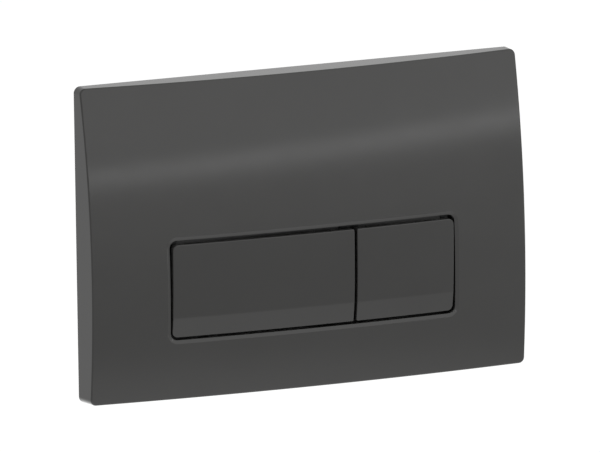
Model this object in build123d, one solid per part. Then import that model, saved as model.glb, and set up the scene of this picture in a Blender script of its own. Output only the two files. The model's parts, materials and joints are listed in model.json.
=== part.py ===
"""Dual-flush button plate for an in-wall cistern.

A domed moulded front plate carries two rocker buttons on steel rods in a carrier behind its opening.
It hangs on a mounting frame that two spacer bolts hold to the wall, and two push rods run back
from the buttons through guides in that frame.

Millimetres. X runs to the right, Y into the wall and Z up, with the origin on the wall plane behind
the middle of the plate. A depth is measured from the wall plane towards the room, so y = -depth.
"""

import math
import os

from build123d import *

# Front plate: outline, section and dome
PLATE_WIDTH = 246.0
PLATE_HEIGHT = 164.0
PLATE_CORNER_R = 3.5
PLATE_DRAFT = 2.27  # degrees that the edge walls lean in towards the front
PLATE_WALL = 2.5
PLATE_EDGE_R = 0.8
DOME_DEPTH = 25.5  # wall plane to the highest point of the dome
DOME_PEAK_Z = -20.5  # height of that point on the plate
DOME_PROFILE_R = 485.0  # curve of the dome seen from the side
DOME_PLAN_R = 953.0  # curve of the dome seen from above
PLATE_RIB = 1.4
PLATE_RIB_HEIGHT = 3.0
PLATE_RIB_PITCH = 41.0
PLATE_RIB_COUNT = 5

# Opening in the plate and its turned-in flange
OPENING_WIDTH = 161.0
OPENING_HEIGHT = 52.1
OPENING_TOP_Z = 1.6
OPENING_CORNER_R = 4.0
OPENING_BEVEL = 1.65  # across the face
OPENING_BEVEL_DEPTH = 0.95
FLANGE_WALL = 2.0
FLANGE_DEPTH = 4.5  # at the sides of the opening, where the dome is lowest

# Buttons: gaps round them, faces and section
SIDE_CLEARANCE = 1.35
TOP_CLEARANCE = 2.2  # the top edge rises as it swings in
BOTTOM_CLEARANCE = 1.45
DIVIDER_X = 22.45
DIVIDER_GAP = 1.5
BUTTON_CORNER_R = 3.0
BUTTON_INNER_CORNER_R = 0.8
BUTTON_EDGE_R = 0.5
BUTTON_WALL = 2.0
BUTTON_TILT = 1.83  # degrees that the upper face leans out of the dome at its top
FLUSH_Z = -31.0  # height where the upper face lies level with the dome
FACET_HEIGHT = 10.25  # lower facet, below the crease
FACET_TILT = 6.5  # degrees that the facet falls away below the dome
CREASE_R = 6.0
SKIRT_DEPTH = 5.6  # skirt at the outer sides, where the face is lowest
BUTTON_RIB = 1.2
BUTTON_RIB_BACKSET = 2.0  # ribs stop this far in front of the skirt's edge

# Rocker hinge: steel rods in lugs on the carrier, ears on the buttons
PRESS_ANGLE = 8.0  # degrees of travel
PIVOT_BEHIND_FLANGE = 3.5
HINGE_ROD_R = 1.5
ROD_CLEARANCE = 0.05  # radial, rod in lug and rod in ear
LUG_R = 3.2
LUG_WIDTH = 4.0
LUG_INSET = 11.2  # end of a button to the middle of its lug
EAR_R = 3.0
EAR_WIDTH = 3.0
EAR_CLEARANCE = 0.4
RING_R = 3.2
RING_WIDTH = 0.8
RING_CLEARANCE = 0.1
ROD_END = 1.2  # rod past its retaining ring

# Stops: a lip with rubber buffers behind the flange, posts on the carrier
LIP_THICKNESS = 2.5
LIP_OVERLAP = 1.4  # lip above the flange
LIP_INSET = 4.5  # end of a button to the end of its lip
BUFFER_INSET = 14.0
BUFFER_WIDTH = 10.0
BUFFER_THICKNESS = 1.0
STOP_CLEARANCE = 0.3
POST_WIDTH = 4.0

# Carrier behind the opening, screwed to bosses on the plate
CARRIER_THICKNESS = 2.5
CARRIER_BEHIND_PIVOT = 4.0
CARRIER_MARGIN_SIDE = 12.5
CARRIER_MARGIN_TOP = 16.4
CARRIER_CORNER_R = 6.0
CARRIER_TOP_RAIL = 9.5
CARRIER_COVER = 3.5  # carrier inside the opening's outline, so that no light shows past the buttons
CARRIER_BAR = 8.0  # bars below the crossbar that carry the lugs
DIVIDER_BAR = 6.0  # bar behind the gap between the buttons
CARRIER_RIM = 1.6
CARRIER_RIM_HEIGHT = 3.0
CROSSBAR_BELOW_OPENING_TOP = 23.6  # middle of the crossbar, where the springs stand
CROSSBAR_HEIGHT = 8.0
BOSS_R = 3.5
BOSS_GUSSET = 1.2
BOSS_GUSSET_REACH = 2.5
BOSS_GUSSET_BACKSET = 3.5  # gussets stop this far in front of the boss's end
BOSS_FLANGE_GAP = 1.0  # lower bosses to the opening's flange
PILOT_R = 1.2
SCREW_SHANK_R = 1.15
SCREW_HEAD_R = 2.8
SCREW_HEAD_HEIGHT = 2.0
SCREW_LENGTH = 8.5
SCREW_HOLE_R = 1.6
PILOT_SPARE = 1.0  # pilot hole past the end of its screw
BOSS_CLEARANCE = 0.4  # boss to the carrier's rim

# Return springs between the carrier and the buttons
SPRING_WIRE_R = 0.4  # half the thickness of its square wire
SPRING_COIL_R = 3.5
SPRING_TURNS = 4
SPRING_LENGTH = 10.0
SPRING_CLEARANCE = 0.1
SPIGOT_R = 2.8
SPIGOT_HEIGHT = 2.0
SPRING_PAD_R = 5.0
FULL_SPRING_SPACING = 56.0
HALF_SPRING_X = 60.0

# Push rods, their heads and the noses that push them
PUSH_SPACING = 72.0
PUSH_Z = -10.5
PUSH_ROD_R = 3.0
PUSH_ROD_REACH = 62.0  # length behind the wall plane
PUSH_GUIDE_CLEARANCE = 0.08
PUSH_HEAD_R = 6.5
PUSH_HEAD_HEIGHT = 4.0
PUSH_HEAD_BORE = 2.5
PUSH_HEAD_CLEARANCE = 0.05
NOSE_R = 1.5
NOSE_WIDTH = 12.0
NOSE_REACH = 5.0  # inner side of the face, at the outer ends of the buttons, to the tip of the nose

# Mounting frame on the wall
FRAME_INSET_SIDE = 20.0
FRAME_INSET_END = 16.0
FRAME_CORNER_R = 6.0
FRAME_RAIL = 9.0
FRAME_SKIN = 2.5
FRAME_THICKNESS = 5.0
FRAME_BEHIND_SCREWS = 0.5
FRAME_WEB = 2.0
COLLAR_REACH = 8.0  # collar behind the frame's back
GUIDE_R = 5.5
GUIDE_REACH = 12.0
BRIDGE_HEIGHT = 16.0  # bar that carries the push-rod guides
HOOK_SPACING = 120.0
HOOK_WIDTH = 14.0
HOOK_THICKNESS = 2.0
HOOK_CLEARANCE = 0.4
TONGUE_LENGTH = 8.0
HOOK_DROP = 2.5  # plate's hook to the frame's edge
SNAP_SLOT = 1.5
SNAP_NOSE = 1.0
LOCATOR_CLEARANCE = 0.4
LOCATOR_WIDTH = 1.6
LOCATOR_Z = 44.0

# Spacer bolts and their hexagon nuts
BOLT_INSET = 23.0  # side of the frame to the middle of a bolt
BOLT_RAISE = 0.5  # bolt above the middle of the space between the carrier and the frame's top rail
BOLT_R = 4.0
BOLT_REACH = 62.0
BOLT_POINT_R = 3.2  # plain point that enters the cistern's socket
BOLT_POINT_LENGTH = 10.0
BOLT_TIP = 0.8
BOLT_HEAD_R = 6.5
BOLT_HEAD_HEIGHT = 3.5
BOLT_SLOT = 1.6
BOLT_SLOT_DEPTH = 1.8
BOLT_CLEARANCE = 0.4  # bolt in the slot of the frame
BOLT_TRAVEL = 7.0  # height adjustment in that slot
BOLT_LUG_WIDTH = 28.0
BOLT_LUG_HEIGHT = 24.0
NUT_R = 7.5  # over its corners
NUT_HEIGHT = 6.0
NUT_CLEARANCE = 0.06

# Places that follow from the sizes above
AXIS_Y = DOME_PLAN_R - DOME_DEPTH
DOME_AXIS = Axis((0, AXIS_Y, 0), (0, 0, 1))
TURN_ANGLE = 1.3 * math.degrees(math.asin(PLATE_WIDTH / 2 / AXIS_Y))
BEHIND_WALL = 20.0
FAR_FRONT = DOME_DEPTH + 10.0
MATCH = 0.01  # two heights nearer than this are the same

OPENING_BOTTOM_Z = OPENING_TOP_Z - OPENING_HEIGHT
OPENING_MID_Z = OPENING_TOP_Z - OPENING_HEIGHT / 2
BUTTON_TOP_Z = OPENING_TOP_Z - TOP_CLEARANCE
BUTTON_BOTTOM_Z = OPENING_BOTTOM_Z + BOTTOM_CLEARANCE
BUTTON_END_X = OPENING_WIDTH / 2 - SIDE_CLEARANCE
FULL_SPAN = (-BUTTON_END_X, DIVIDER_X - DIVIDER_GAP / 2)
HALF_SPAN = (DIVIDER_X + DIVIDER_GAP / 2, BUTTON_END_X)
CREASE_Z = BUTTON_BOTTOM_Z + FACET_HEIGHT


def dome_profile(z, inset=0.0):
    """Depth of the dome at mid width, or of a skin that lies inset behind it."""
    radius = DOME_PROFILE_R - inset
    return DOME_DEPTH - DOME_PROFILE_R + math.sqrt(radius**2 - (z - DOME_PEAK_Z) ** 2)


def across(depth_mid, x):
    """Depth at x of a point that is turned about the dome's axis from mid width."""
    return math.sqrt((AXIS_Y + depth_mid) ** 2 - x**2) - AXIS_Y


def button_profile(z):
    """Depth of a button's face at mid width, on its upper face or its lower facet."""
    if z >= CREASE_Z:
        return dome_profile(z) + (z - FLUSH_Z) * math.tan(math.radians(BUTTON_TILT))
    fall = (CREASE_Z - z) * math.tan(math.radians(FACET_TILT))
    return button_profile(CREASE_Z) - dome_profile(CREASE_Z) + dome_profile(z) - fall


FACE_DEPTH = across(dome_profile(OPENING_MID_Z), OPENING_WIDTH / 2)
FLANGE_BACK = FACE_DEPTH - FLANGE_DEPTH
SKIRT_BACK = FACE_DEPTH - SKIRT_DEPTH
PIVOT_DEPTH = FLANGE_BACK - PIVOT_BEHIND_FLANGE
PIVOT_Z = CREASE_Z
CARRIER_FRONT = PIVOT_DEPTH - CARRIER_BEHIND_PIVOT
CARRIER_BACK = CARRIER_FRONT - CARRIER_THICKNESS
SCREW_BACK = CARRIER_BACK - SCREW_HEAD_HEIGHT
FRAME_FRONT = SCREW_BACK - FRAME_BEHIND_SCREWS
FRAME_BACK = FRAME_FRONT - FRAME_THICKNESS
LIP_FRONT = FLANGE_BACK - STOP_CLEARANCE - BUFFER_THICKNESS
LIP_BACK = LIP_FRONT - LIP_THICKNESS
LIP_TOP_Z = OPENING_TOP_Z + FLANGE_WALL + LIP_OVERLAP
SPRING_FRONT = CARRIER_FRONT + SPRING_LENGTH
NOSE_DEPTH = FACE_DEPTH - BUTTON_WALL - NOSE_REACH + NOSE_R
PUSH_HEAD_FRONT = NOSE_DEPTH - NOSE_R - STOP_CLEARANCE
CROSSBAR_Z = OPENING_TOP_Z - CROSSBAR_BELOW_OPENING_TOP

CARRIER_HALF_WIDTH = OPENING_WIDTH / 2 + CARRIER_MARGIN_SIDE
CARRIER_TOP_Z = OPENING_TOP_Z + CARRIER_MARGIN_TOP
SCREW_INSET = CARRIER_RIM + BOSS_R + BOSS_CLEARANCE
LOWER_SCREW_Z = OPENING_BOTTOM_Z - FLANGE_WALL - BOSS_FLANGE_GAP - BOSS_R
CARRIER_BOTTOM_Z = LOWER_SCREW_Z - SCREW_INSET
SCREW_POINTS = [
    (side * (CARRIER_HALF_WIDTH - SCREW_INSET), z)
    for z in (CARRIER_TOP_Z - SCREW_INSET, LOWER_SCREW_Z)
    for side in (-1, 0, 1)
]
FRAME_WIDTH = PLATE_WIDTH - 2 * FRAME_INSET_SIDE
FRAME_HEIGHT = PLATE_HEIGHT - 2 * FRAME_INSET_END
BOLT_SPACING = FRAME_WIDTH - 2 * BOLT_INSET
BOLT_Z = (CARRIER_TOP_Z + FRAME_HEIGHT / 2 - FRAME_RAIL) / 2 + BOLT_RAISE
FULL_MID_X = sum(FULL_SPAN) / 2


def pressed_depth(depth, z):
    """Depth that a point of a button reaches when the button is pressed right in."""
    angle = math.radians(PRESS_ANGLE)
    forward, above = depth - PIVOT_DEPTH, z - PIVOT_Z
    return PIVOT_DEPTH + forward * math.cos(angle) - above * math.sin(angle)


def slab(sketch, back, front):
    """Straight block of a sketch drawn in X and Z, between two depths."""
    return extrude(Plane.XZ.offset(back) * sketch, front - back)


def block(x_span, z_span, depth_span):
    """Box between two values of X, of Z and of depth."""
    width, height = x_span[1] - x_span[0], z_span[1] - z_span[0]
    middle = Pos(sum(x_span) / 2, sum(z_span) / 2)
    return slab(middle * Rectangle(width, height), *depth_span)


def around(middle, width):
    """Span of a width about its middle."""
    return (middle - width / 2, middle + width / 2)


def disc(x, z, radius, back, front):
    """Round bar along Y between two depths."""
    return slab(Pos(x, z) * Circle(radius), back, front)


def cross_bar(sketch, x_span):
    """Straight bar along X of a sketch drawn in Y and Z."""
    return extrude(Plane.YZ.offset(x_span[0]) * sketch, x_span[1] - x_span[0])


def at_pivot(radius):
    """Circle about the rocker axis, in Y and Z."""
    return Pos(-PIVOT_DEPTH, PIVOT_Z) * Circle(radius)


def behind(front):
    """Section behind a front curve drawn in Y and Z."""
    low, high = front @ 0, front @ 1
    back = Polyline((high.X, high.Y), (BEHIND_WALL, high.Y), (BEHIND_WALL, low.Y), (low.X, low.Y))
    return make_face(front + back)


def turned(section):
    """Solid of a section drawn in Y and Z, turned about the dome's upright axis."""
    return revolve(Plane.YZ * section, DOME_AXIS, 2 * TURN_ANGLE).rotate(DOME_AXIS, -TURN_ANGLE)


def dome(inset=0.0):
    """Everything behind the dome, or behind a skin that lies inset behind it."""
    reach = 0.6 * PLATE_HEIGHT
    points = [(-dome_profile(z, inset), z) for z in (-reach, DOME_PEAK_Z, reach)]
    return turned(behind(ThreePointArc(*points)))


def button_face(inset=0.0):
    """Everything behind the buttons' faces, or behind a skin that lies inset behind them."""
    heights = (CREASE_Z, (CREASE_Z + BUTTON_TOP_Z) / 2, BUTTON_TOP_Z + TOP_CLEARANCE)
    upper = [(inset - button_profile(z), z) for z in heights]
    foot_z = BUTTON_BOTTOM_Z - BOTTOM_CLEARANCE
    facet = Line((inset - button_profile(foot_z), foot_z), upper[0])
    section = behind(facet + ThreePointArc(*upper))
    crease = [v for v in section.vertices() if abs(v.Y - CREASE_Z) < MATCH]
    return turned(fillet(crease, CREASE_R))


def opening_outline(grow=0.0):
    """Outline of the plate's opening, grown all round."""
    shape = RectangleRounded(OPENING_WIDTH + 2 * grow, OPENING_HEIGHT + 2 * grow, OPENING_CORNER_R + grow)
    return Pos(0, OPENING_MID_Z) * shape


def plate_block(inset, front):
    """Drafted block inside the plate's outline."""
    radius = max(PLATE_CORNER_R - inset, PLATE_EDGE_R)
    outline = RectangleRounded(PLATE_WIDTH - 2 * inset, PLATE_HEIGHT - 2 * inset, radius)
    return extrude(Plane.XZ * outline, front, taper=PLATE_DRAFT)


def screw_bosses():
    """Bosses inside the plate that the carrier is screwed to, each with a gusset at either side."""
    pieces = []
    for x, z in SCREW_POINTS:
        root = across(dome_profile(z, PLATE_WALL / 2), x)
        pieces.append(disc(x, z, BOSS_R, CARRIER_FRONT, root))
        width = 2 * (BOSS_R + BOSS_GUSSET_REACH)
        depths = (CARRIER_FRONT + BOSS_GUSSET_BACKSET, root)
        pieces.append(block(around(x, width), around(z, BOSS_GUSSET), depths))
    return Part() + pieces


def plate_ribs():
    """Low upright ribs inside the upper face of the plate."""
    middle = (PLATE_RIB_COUNT - 1) / 2
    z_span = (OPENING_TOP_Z + FLANGE_WALL / 2, PLATE_HEIGHT / 2 - PLATE_WALL)
    strips = [
        block(around((i - middle) * PLATE_RIB_PITCH, PLATE_RIB), z_span, (0, FAR_FRONT))
        for i in range(PLATE_RIB_COUNT)
    ]
    skin = dome(PLATE_WALL / 2) - dome(PLATE_WALL + PLATE_RIB_HEIGHT)
    return Part() + strips & skin


def plate_hooks():
    """Lugs on the top and bottom walls that catch behind the frame's tongues, and side locators."""
    front = FRAME_FRONT - HOOK_THICKNESS - HOOK_CLEARANCE
    depths = (front - HOOK_THICKNESS, front)
    reach = PLATE_HEIGHT / 2 - PLATE_WALL / 2
    edge = FRAME_HEIGHT / 2 + HOOK_DROP
    pieces = []
    for x in (-HOOK_SPACING / 2, HOOK_SPACING / 2):
        for z_span in ((edge, reach), (-reach, -edge)):
            pieces.append(block(around(x, HOOK_WIDTH), z_span, depths))
    inner = FRAME_WIDTH / 2 + LOCATOR_CLEARANCE
    outer = PLATE_WIDTH / 2 - PLATE_WALL / 2
    for x_span in ((inner, outer), (-outer, -inner)):
        for z in (-LOCATOR_Z, LOCATOR_Z):
            pieces.append(block(x_span, around(z, LOCATOR_WIDTH), (FRAME_BACK + HOOK_CLEARANCE, FRAME_FRONT)))
    return Part() + pieces


def make_front_plate():
    """Domed moulded plate with its opening, flange, bosses, ribs and hooks."""
    body = dome() & plate_block(0, FAR_FRONT)
    front = body.faces().sort_by(Axis.Y)[0]
    body = fillet(front.outer_wire().edges(), PLATE_EDGE_R)
    hollow = dome(PLATE_WALL) & plate_block(PLATE_WALL, FAR_FRONT)
    flange = slab(opening_outline(FLANGE_WALL), FLANGE_BACK, FAR_FRONT) & dome(PLATE_WALL / 2)
    plate = body - hollow + flange + screw_bosses() + plate_ribs() + plate_hooks()
    plate -= slab(opening_outline(), 0, FAR_FRONT)
    plate -= [
        disc(x, z, PILOT_R, CARRIER_FRONT, CARRIER_BACK + SCREW_LENGTH + PILOT_SPARE) for x, z in SCREW_POINTS
    ]
    face = plate.faces().sort_by(SortBy.AREA)[-1]
    rim = face.inner_wires()[0].edges()
    return chamfer(rim, OPENING_BEVEL, OPENING_BEVEL_DEPTH, reference=face)


def button_outline(span, inset=0.0):
    """Outline of a button, with near-square corners at the divider."""
    width = span[1] - span[0] - 2 * inset
    height = BUTTON_TOP_Z - BUTTON_BOTTOM_Z - 2 * inset
    shape = Rectangle(width, height)
    outer_first = span[0] < -span[1]
    corners = shape.vertices().sort_by(Axis.X, reverse=not outer_first)
    shape = fillet(corners[:2], max(BUTTON_CORNER_R - inset, BUTTON_EDGE_R))
    corners = shape.vertices().sort_by(Axis.X, reverse=outer_first)
    shape = fillet(corners[:2], BUTTON_INNER_CORNER_R)
    return Pos(sum(span) / 2, (BUTTON_TOP_Z + BUTTON_BOTTOM_Z) / 2) * shape


def lug_places(span):
    """Middles of a button's two bearing lugs, and which way the button's ears lie."""
    return [(span[0] + LUG_INSET, 1), (span[1] - LUG_INSET, -1)]


def button_ears(span):
    """Pierced ears that hang the button on its rod."""
    ears = Part()
    arm = Pos(-PIVOT_DEPTH - FAR_FRONT / 2, PIVOT_Z) * Rectangle(FAR_FRONT, 2 * EAR_R)
    shift = (LUG_WIDTH + EAR_WIDTH) / 2 + EAR_CLEARANCE
    for x, way in lug_places(span):
        ears += cross_bar(at_pivot(EAR_R) + arm, around(x + way * shift, EAR_WIDTH))
    return ears


def button_lip(span):
    """Lip that reaches up behind the opening's flange, stops the return and hides the gap."""
    x_span = (span[0] + LIP_INSET, span[1] - LIP_INSET)
    root_z = (BUTTON_TOP_Z - BUTTON_WALL, BUTTON_TOP_Z)
    lip = block(x_span, (root_z[0], LIP_TOP_Z), (LIP_BACK, LIP_FRONT))
    return lip + block(x_span, root_z, (LIP_BACK, SKIRT_BACK + BUTTON_WALL))


def button_ribs(push_x, spring_xs):
    """Upright ribs that stiffen a button's face, between its push nose and its springs."""
    z_span = (BUTTON_BOTTOM_Z + BUTTON_WALL / 2, BUTTON_TOP_Z - BUTTON_WALL / 2)
    depths = (SKIRT_BACK + BUTTON_RIB_BACKSET, FAR_FRONT)
    return Part() + [block(around((push_x + x) / 2, BUTTON_RIB), z_span, depths) for x in spring_xs]


def make_button(span, push_x, spring_xs):
    """Hollow rocker button with its ears, stop lip, push nose and spring pads."""
    depths = (SKIRT_BACK, FAR_FRONT)
    button = button_face() & slab(button_outline(span), *depths)
    front = button.faces().sort_by(Axis.Y)[:3]
    edges = [e for face in front for e in face.outer_wire().edges() if not lies_on_crease(e)]
    button = fillet(edges, BUTTON_EDGE_R)
    button -= button_face(BUTTON_WALL) & slab(button_outline(span, BUTTON_WALL), *depths)
    inside = button_ears(span) + button_ribs(push_x, spring_xs)
    inside += block(around(push_x, NOSE_WIDTH), around(PUSH_Z, 2 * NOSE_R), (NOSE_DEPTH, FAR_FRONT))
    nose = Pos(-NOSE_DEPTH, PUSH_Z) * Circle(NOSE_R)
    inside += cross_bar(nose, around(push_x, NOSE_WIDTH))
    for x in spring_xs:
        inside += disc(x, CROSSBAR_Z, SPRING_PAD_R, SPRING_FRONT, FAR_FRONT)
        inside += disc(x, CROSSBAR_Z, SPIGOT_R, SPRING_FRONT - SPIGOT_HEIGHT, FAR_FRONT)
    button += inside & button_face(BUTTON_WALL / 2)
    button += button_lip(span)
    return button - cross_bar(at_pivot(HINGE_ROD_R + ROD_CLEARANCE), span)


def lies_on_crease(edge):
    """True for an edge along the rounded crease between a button's upper face and its lower facet."""
    start, end = (edge @ 0).Z, (edge @ 1).Z
    return abs(start - end) < MATCH and abs(start - CREASE_Z) < CREASE_R


def make_buffers(span):
    """Two rubber pads on a button's stop lip, one solid each."""
    middle = OPENING_TOP_Z + FLANGE_WALL / 2
    z_span = around(middle, 2 * (LIP_TOP_Z - middle))
    depths = (LIP_FRONT, LIP_FRONT + BUFFER_THICKNESS)
    places = (span[0] + BUFFER_INSET, span[1] - BUFFER_INSET)
    return [block(around(x, BUFFER_WIDTH), z_span, depths) for x in places]


def rod_span(span):
    """Ends of a hinge rod, past the retaining rings outside its lugs."""
    past = LUG_WIDTH / 2 + RING_CLEARANCE + RING_WIDTH + ROD_END
    return (span[0] + LUG_INSET - past, span[1] - LUG_INSET + past)


def make_hinge_rod(span):
    """Plain steel rod through a button's ears and the carrier's lugs."""
    rod = cross_bar(at_pivot(HINGE_ROD_R), rod_span(span))
    ends = rod.edges().filter_by(GeomType.CIRCLE)
    return chamfer(ends, HINGE_ROD_R / 5)


def make_rings():
    """Push-on rings that keep the hinge rods in their lugs, one solid each."""
    washer = at_pivot(RING_R) - at_pivot(HINGE_ROD_R + ROD_CLEARANCE)
    offset = (LUG_WIDTH + RING_WIDTH) / 2 + RING_CLEARANCE
    return [
        cross_bar(washer, around(x - way * offset, RING_WIDTH))
        for span in (FULL_SPAN, HALF_SPAN)
        for x, way in lug_places(span)
    ]


def carrier_lugs():
    """Bearing lugs that stand on the carrier and hold the hinge rods."""
    foot = Pos(-(CARRIER_BACK + PIVOT_DEPTH) / 2, PIVOT_Z) * Rectangle(PIVOT_DEPTH - CARRIER_BACK, 2 * LUG_R)
    profile = at_pivot(LUG_R) + foot - at_pivot(HINGE_ROD_R + ROD_CLEARANCE)
    lugs = Part()
    for span in (FULL_SPAN, HALF_SPAN):
        for x, _ in lug_places(span):
            lugs += cross_bar(profile, around(x, LUG_WIDTH))
    return lugs


def carrier_posts():
    """Posts that stop the buttons' skirts at the end of their travel."""
    z_span = around(CROSSBAR_Z, POST_WIDTH)
    top = pressed_depth(SKIRT_BACK, z_span[1]) - STOP_CLEARANCE
    posts = Part()
    for span in (FULL_SPAN, HALF_SPAN):
        for x in (span[0] + POST_WIDTH / 2, span[1] - POST_WIDTH / 2):
            posts += block(around(x, POST_WIDTH), z_span, (CARRIER_BACK, top))
    return posts


def carrier_windows():
    """Openings in the carrier: above the crossbar for lips and rods, below it between the lugs."""
    edge_x = OPENING_WIDTH / 2 - CARRIER_COVER
    upper = (CROSSBAR_Z + CROSSBAR_HEIGHT / 2, CARRIER_TOP_Z - CARRIER_TOP_RAIL)
    lower = (OPENING_BOTTOM_Z + CARRIER_COVER, CROSSBAR_Z - CROSSBAR_HEIGHT / 2)
    divider = around(DIVIDER_X, DIVIDER_BAR)
    windows = [((-edge_x, divider[0]), upper), ((divider[1], edge_x), upper)]
    for span in (FULL_SPAN, HALF_SPAN):
        (left, _), (right, _) = lug_places(span)
        windows.append(((left + CARRIER_BAR / 2, right - CARRIER_BAR / 2), lower))
    return [block(x_span, z_span, (CARRIER_BACK, CARRIER_FRONT)) for x_span, z_span in windows]


def make_carrier(springs):
    """Moulded carrier behind the opening, with bearing lugs, spring spigots and stop posts."""
    height = CARRIER_TOP_Z - CARRIER_BOTTOM_Z
    middle = Pos(0, (CARRIER_TOP_Z + CARRIER_BOTTOM_Z) / 2)
    outline = RectangleRounded(2 * CARRIER_HALF_WIDTH, height, CARRIER_CORNER_R)
    inner = offset(outline, -CARRIER_RIM)
    carrier = slab(middle * outline, CARRIER_BACK, CARRIER_FRONT)
    carrier -= carrier_windows()
    rim = slab(middle * (outline - inner), CARRIER_FRONT, CARRIER_FRONT + CARRIER_RIM_HEIGHT)
    carrier += rim + carrier_lugs() + carrier_posts()
    carrier += [disc(x, CROSSBAR_Z, SPIGOT_R, CARRIER_FRONT, CARRIER_FRONT + SPIGOT_HEIGHT) for x in springs]
    return carrier - [disc(x, z, SCREW_HOLE_R, CARRIER_BACK, CARRIER_FRONT) for x, z in SCREW_POINTS]


def make_carrier_screws():
    """Pan-head screws through the carrier into the plate's bosses, one solid each."""
    screws = []
    for x, z in SCREW_POINTS:
        head = disc(x, z, SCREW_HEAD_R, SCREW_BACK, CARRIER_BACK)
        head = chamfer(head.edges().sort_by(Axis.Y)[-1], SCREW_HEAD_HEIGHT / 3)
        screws.append(head + disc(x, z, SCREW_SHANK_R, CARRIER_BACK, CARRIER_BACK + SCREW_LENGTH))
    return screws


def make_spring(x):
    """Compression spring on the carrier's spigot, behind a button."""
    length = SPRING_LENGTH - 2 * SPRING_WIRE_R - 2 * SPRING_CLEARANCE
    start = CARRIER_FRONT + SPRING_WIRE_R + SPRING_CLEARANCE
    foot = (x, -start, CROSSBAR_Z)
    path = Helix(length / SPRING_TURNS, length, SPRING_COIL_R, center=foot, direction=(0, -1, 0))
    wire = Plane(path @ 0, z_dir=path % 0) * Rectangle(2 * SPRING_WIRE_R, 2 * SPRING_WIRE_R)
    return sweep(wire, path)


def make_push_rod(x):
    """Plain rod from its head back through its guide to the flush valve."""
    front = PUSH_HEAD_FRONT - PUSH_HEAD_HEIGHT + PUSH_HEAD_BORE
    rod = disc(x, PUSH_Z, PUSH_ROD_R, -PUSH_ROD_REACH, front)
    return chamfer(rod.edges().sort_by(Axis.Y)[-1], PUSH_ROD_R / 5)


def make_push_head(x):
    """Cap on the front of a push rod, which the button's nose bears on."""
    back = PUSH_HEAD_FRONT - PUSH_HEAD_HEIGHT
    head = disc(x, PUSH_Z, PUSH_HEAD_R, back, PUSH_HEAD_FRONT)
    head = chamfer(head.edges().sort_by(Axis.Y)[0], PUSH_HEAD_HEIGHT / 5)
    return head - disc(x, PUSH_Z, PUSH_ROD_R + PUSH_HEAD_CLEARANCE, back, back + PUSH_HEAD_BORE)


def frame_tongues():
    """Tongues at the top and bottom of the frame, the lower ones with a snap nose."""
    depths = (FRAME_FRONT - HOOK_THICKNESS, FRAME_FRONT)
    edge = FRAME_HEIGHT / 2 - FRAME_WEB
    tip = FRAME_HEIGHT / 2 + TONGUE_LENGTH
    tongues = Part()
    for x in (-HOOK_SPACING / 2, HOOK_SPACING / 2):
        tongues += block(around(x, HOOK_WIDTH), (edge, tip), depths)
        snap = block(around(x, HOOK_WIDTH), (-tip, -edge), depths)
        nose_z = (-tip, -tip + 2 * SNAP_NOSE)
        snap += block(around(x, HOOK_WIDTH), nose_z, (FRAME_FRONT, FRAME_FRONT + SNAP_NOSE))
        front_edge = snap.edges().filter_by(Axis.X).group_by(Axis.Y)[0].sort_by(Axis.Z)[0]
        tongues += chamfer(front_edge, SNAP_NOSE * 0.9)
    return tongues


def frame_bridge():
    """Bar across the frame with two guide sleeves for the push rods."""
    x_span = around(0, FRAME_WIDTH - 2 * FRAME_RAIL + FRAME_WEB)
    z_span = around(PUSH_Z, BRIDGE_HEIGHT)
    bridge = block(x_span, z_span, (FRAME_FRONT - FRAME_SKIN, FRAME_FRONT))
    for z in (z_span[0] + FRAME_WEB / 2, z_span[1] - FRAME_WEB / 2):
        bridge += block(x_span, around(z, FRAME_WEB), (FRAME_BACK, FRAME_FRONT))
    for x in (-PUSH_SPACING / 2, PUSH_SPACING / 2):
        bridge += disc(x, PUSH_Z, GUIDE_R, FRAME_BACK - GUIDE_REACH, FRAME_FRONT)
    return bridge


def bolt_lugs():
    """Slotted lugs inside the frame for the spacer bolts."""
    lugs = Part()
    inner = BOLT_SPACING / 2 - BOLT_LUG_WIDTH / 2
    outer = FRAME_WIDTH / 2 - FRAME_RAIL + FRAME_WEB / 2
    slot = SlotCenterToCenter(BOLT_TRAVEL, 2 * (BOLT_R + BOLT_CLEARANCE), rotation=90)
    for side in (-1, 1):
        x_span = sorted((side * inner, side * outer))
        lug = block(x_span, around(BOLT_Z, BOLT_LUG_HEIGHT), (FRAME_FRONT - FRAME_SKIN, FRAME_FRONT))
        hole = slab(Pos(side * BOLT_SPACING / 2, BOLT_Z) * slot, FRAME_BACK, FRAME_FRONT)
        lugs += lug - hole
    return lugs


def make_mounting_frame():
    """Moulded frame on the wall: a channel-section ring with a collar, bridge, lugs and tongues."""
    outline = RectangleRounded(FRAME_WIDTH, FRAME_HEIGHT, FRAME_CORNER_R)
    window = offset(outline, -FRAME_RAIL)
    frame = slab(outline - window, FRAME_BACK, FRAME_FRONT)
    channel = offset(outline, -FRAME_WEB) - offset(outline, FRAME_WEB - FRAME_RAIL)
    frame -= slab(channel, FRAME_BACK, FRAME_FRONT - FRAME_SKIN)
    collar = offset(outline, FRAME_WEB - FRAME_RAIL) - window
    frame += slab(collar, FRAME_BACK - COLLAR_REACH, FRAME_FRONT)
    frame += frame_bridge() + bolt_lugs() + frame_tongues()
    slot_z = -FRAME_HEIGHT / 2 + FRAME_WEB
    for x in (-HOOK_SPACING / 2, HOOK_SPACING / 2):
        for side in (-1, 1):
            slot_x = x + side * (HOOK_WIDTH + SNAP_SLOT) / 2
            frame -= block(around(slot_x, SNAP_SLOT), (-FRAME_HEIGHT / 2, slot_z), (FRAME_BACK, FRAME_FRONT))
    bores = [
        disc(x, PUSH_Z, PUSH_ROD_R + PUSH_GUIDE_CLEARANCE, FRAME_BACK - GUIDE_REACH, FRAME_FRONT)
        for x in (-PUSH_SPACING / 2, PUSH_SPACING / 2)
    ]
    return frame - bores


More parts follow.
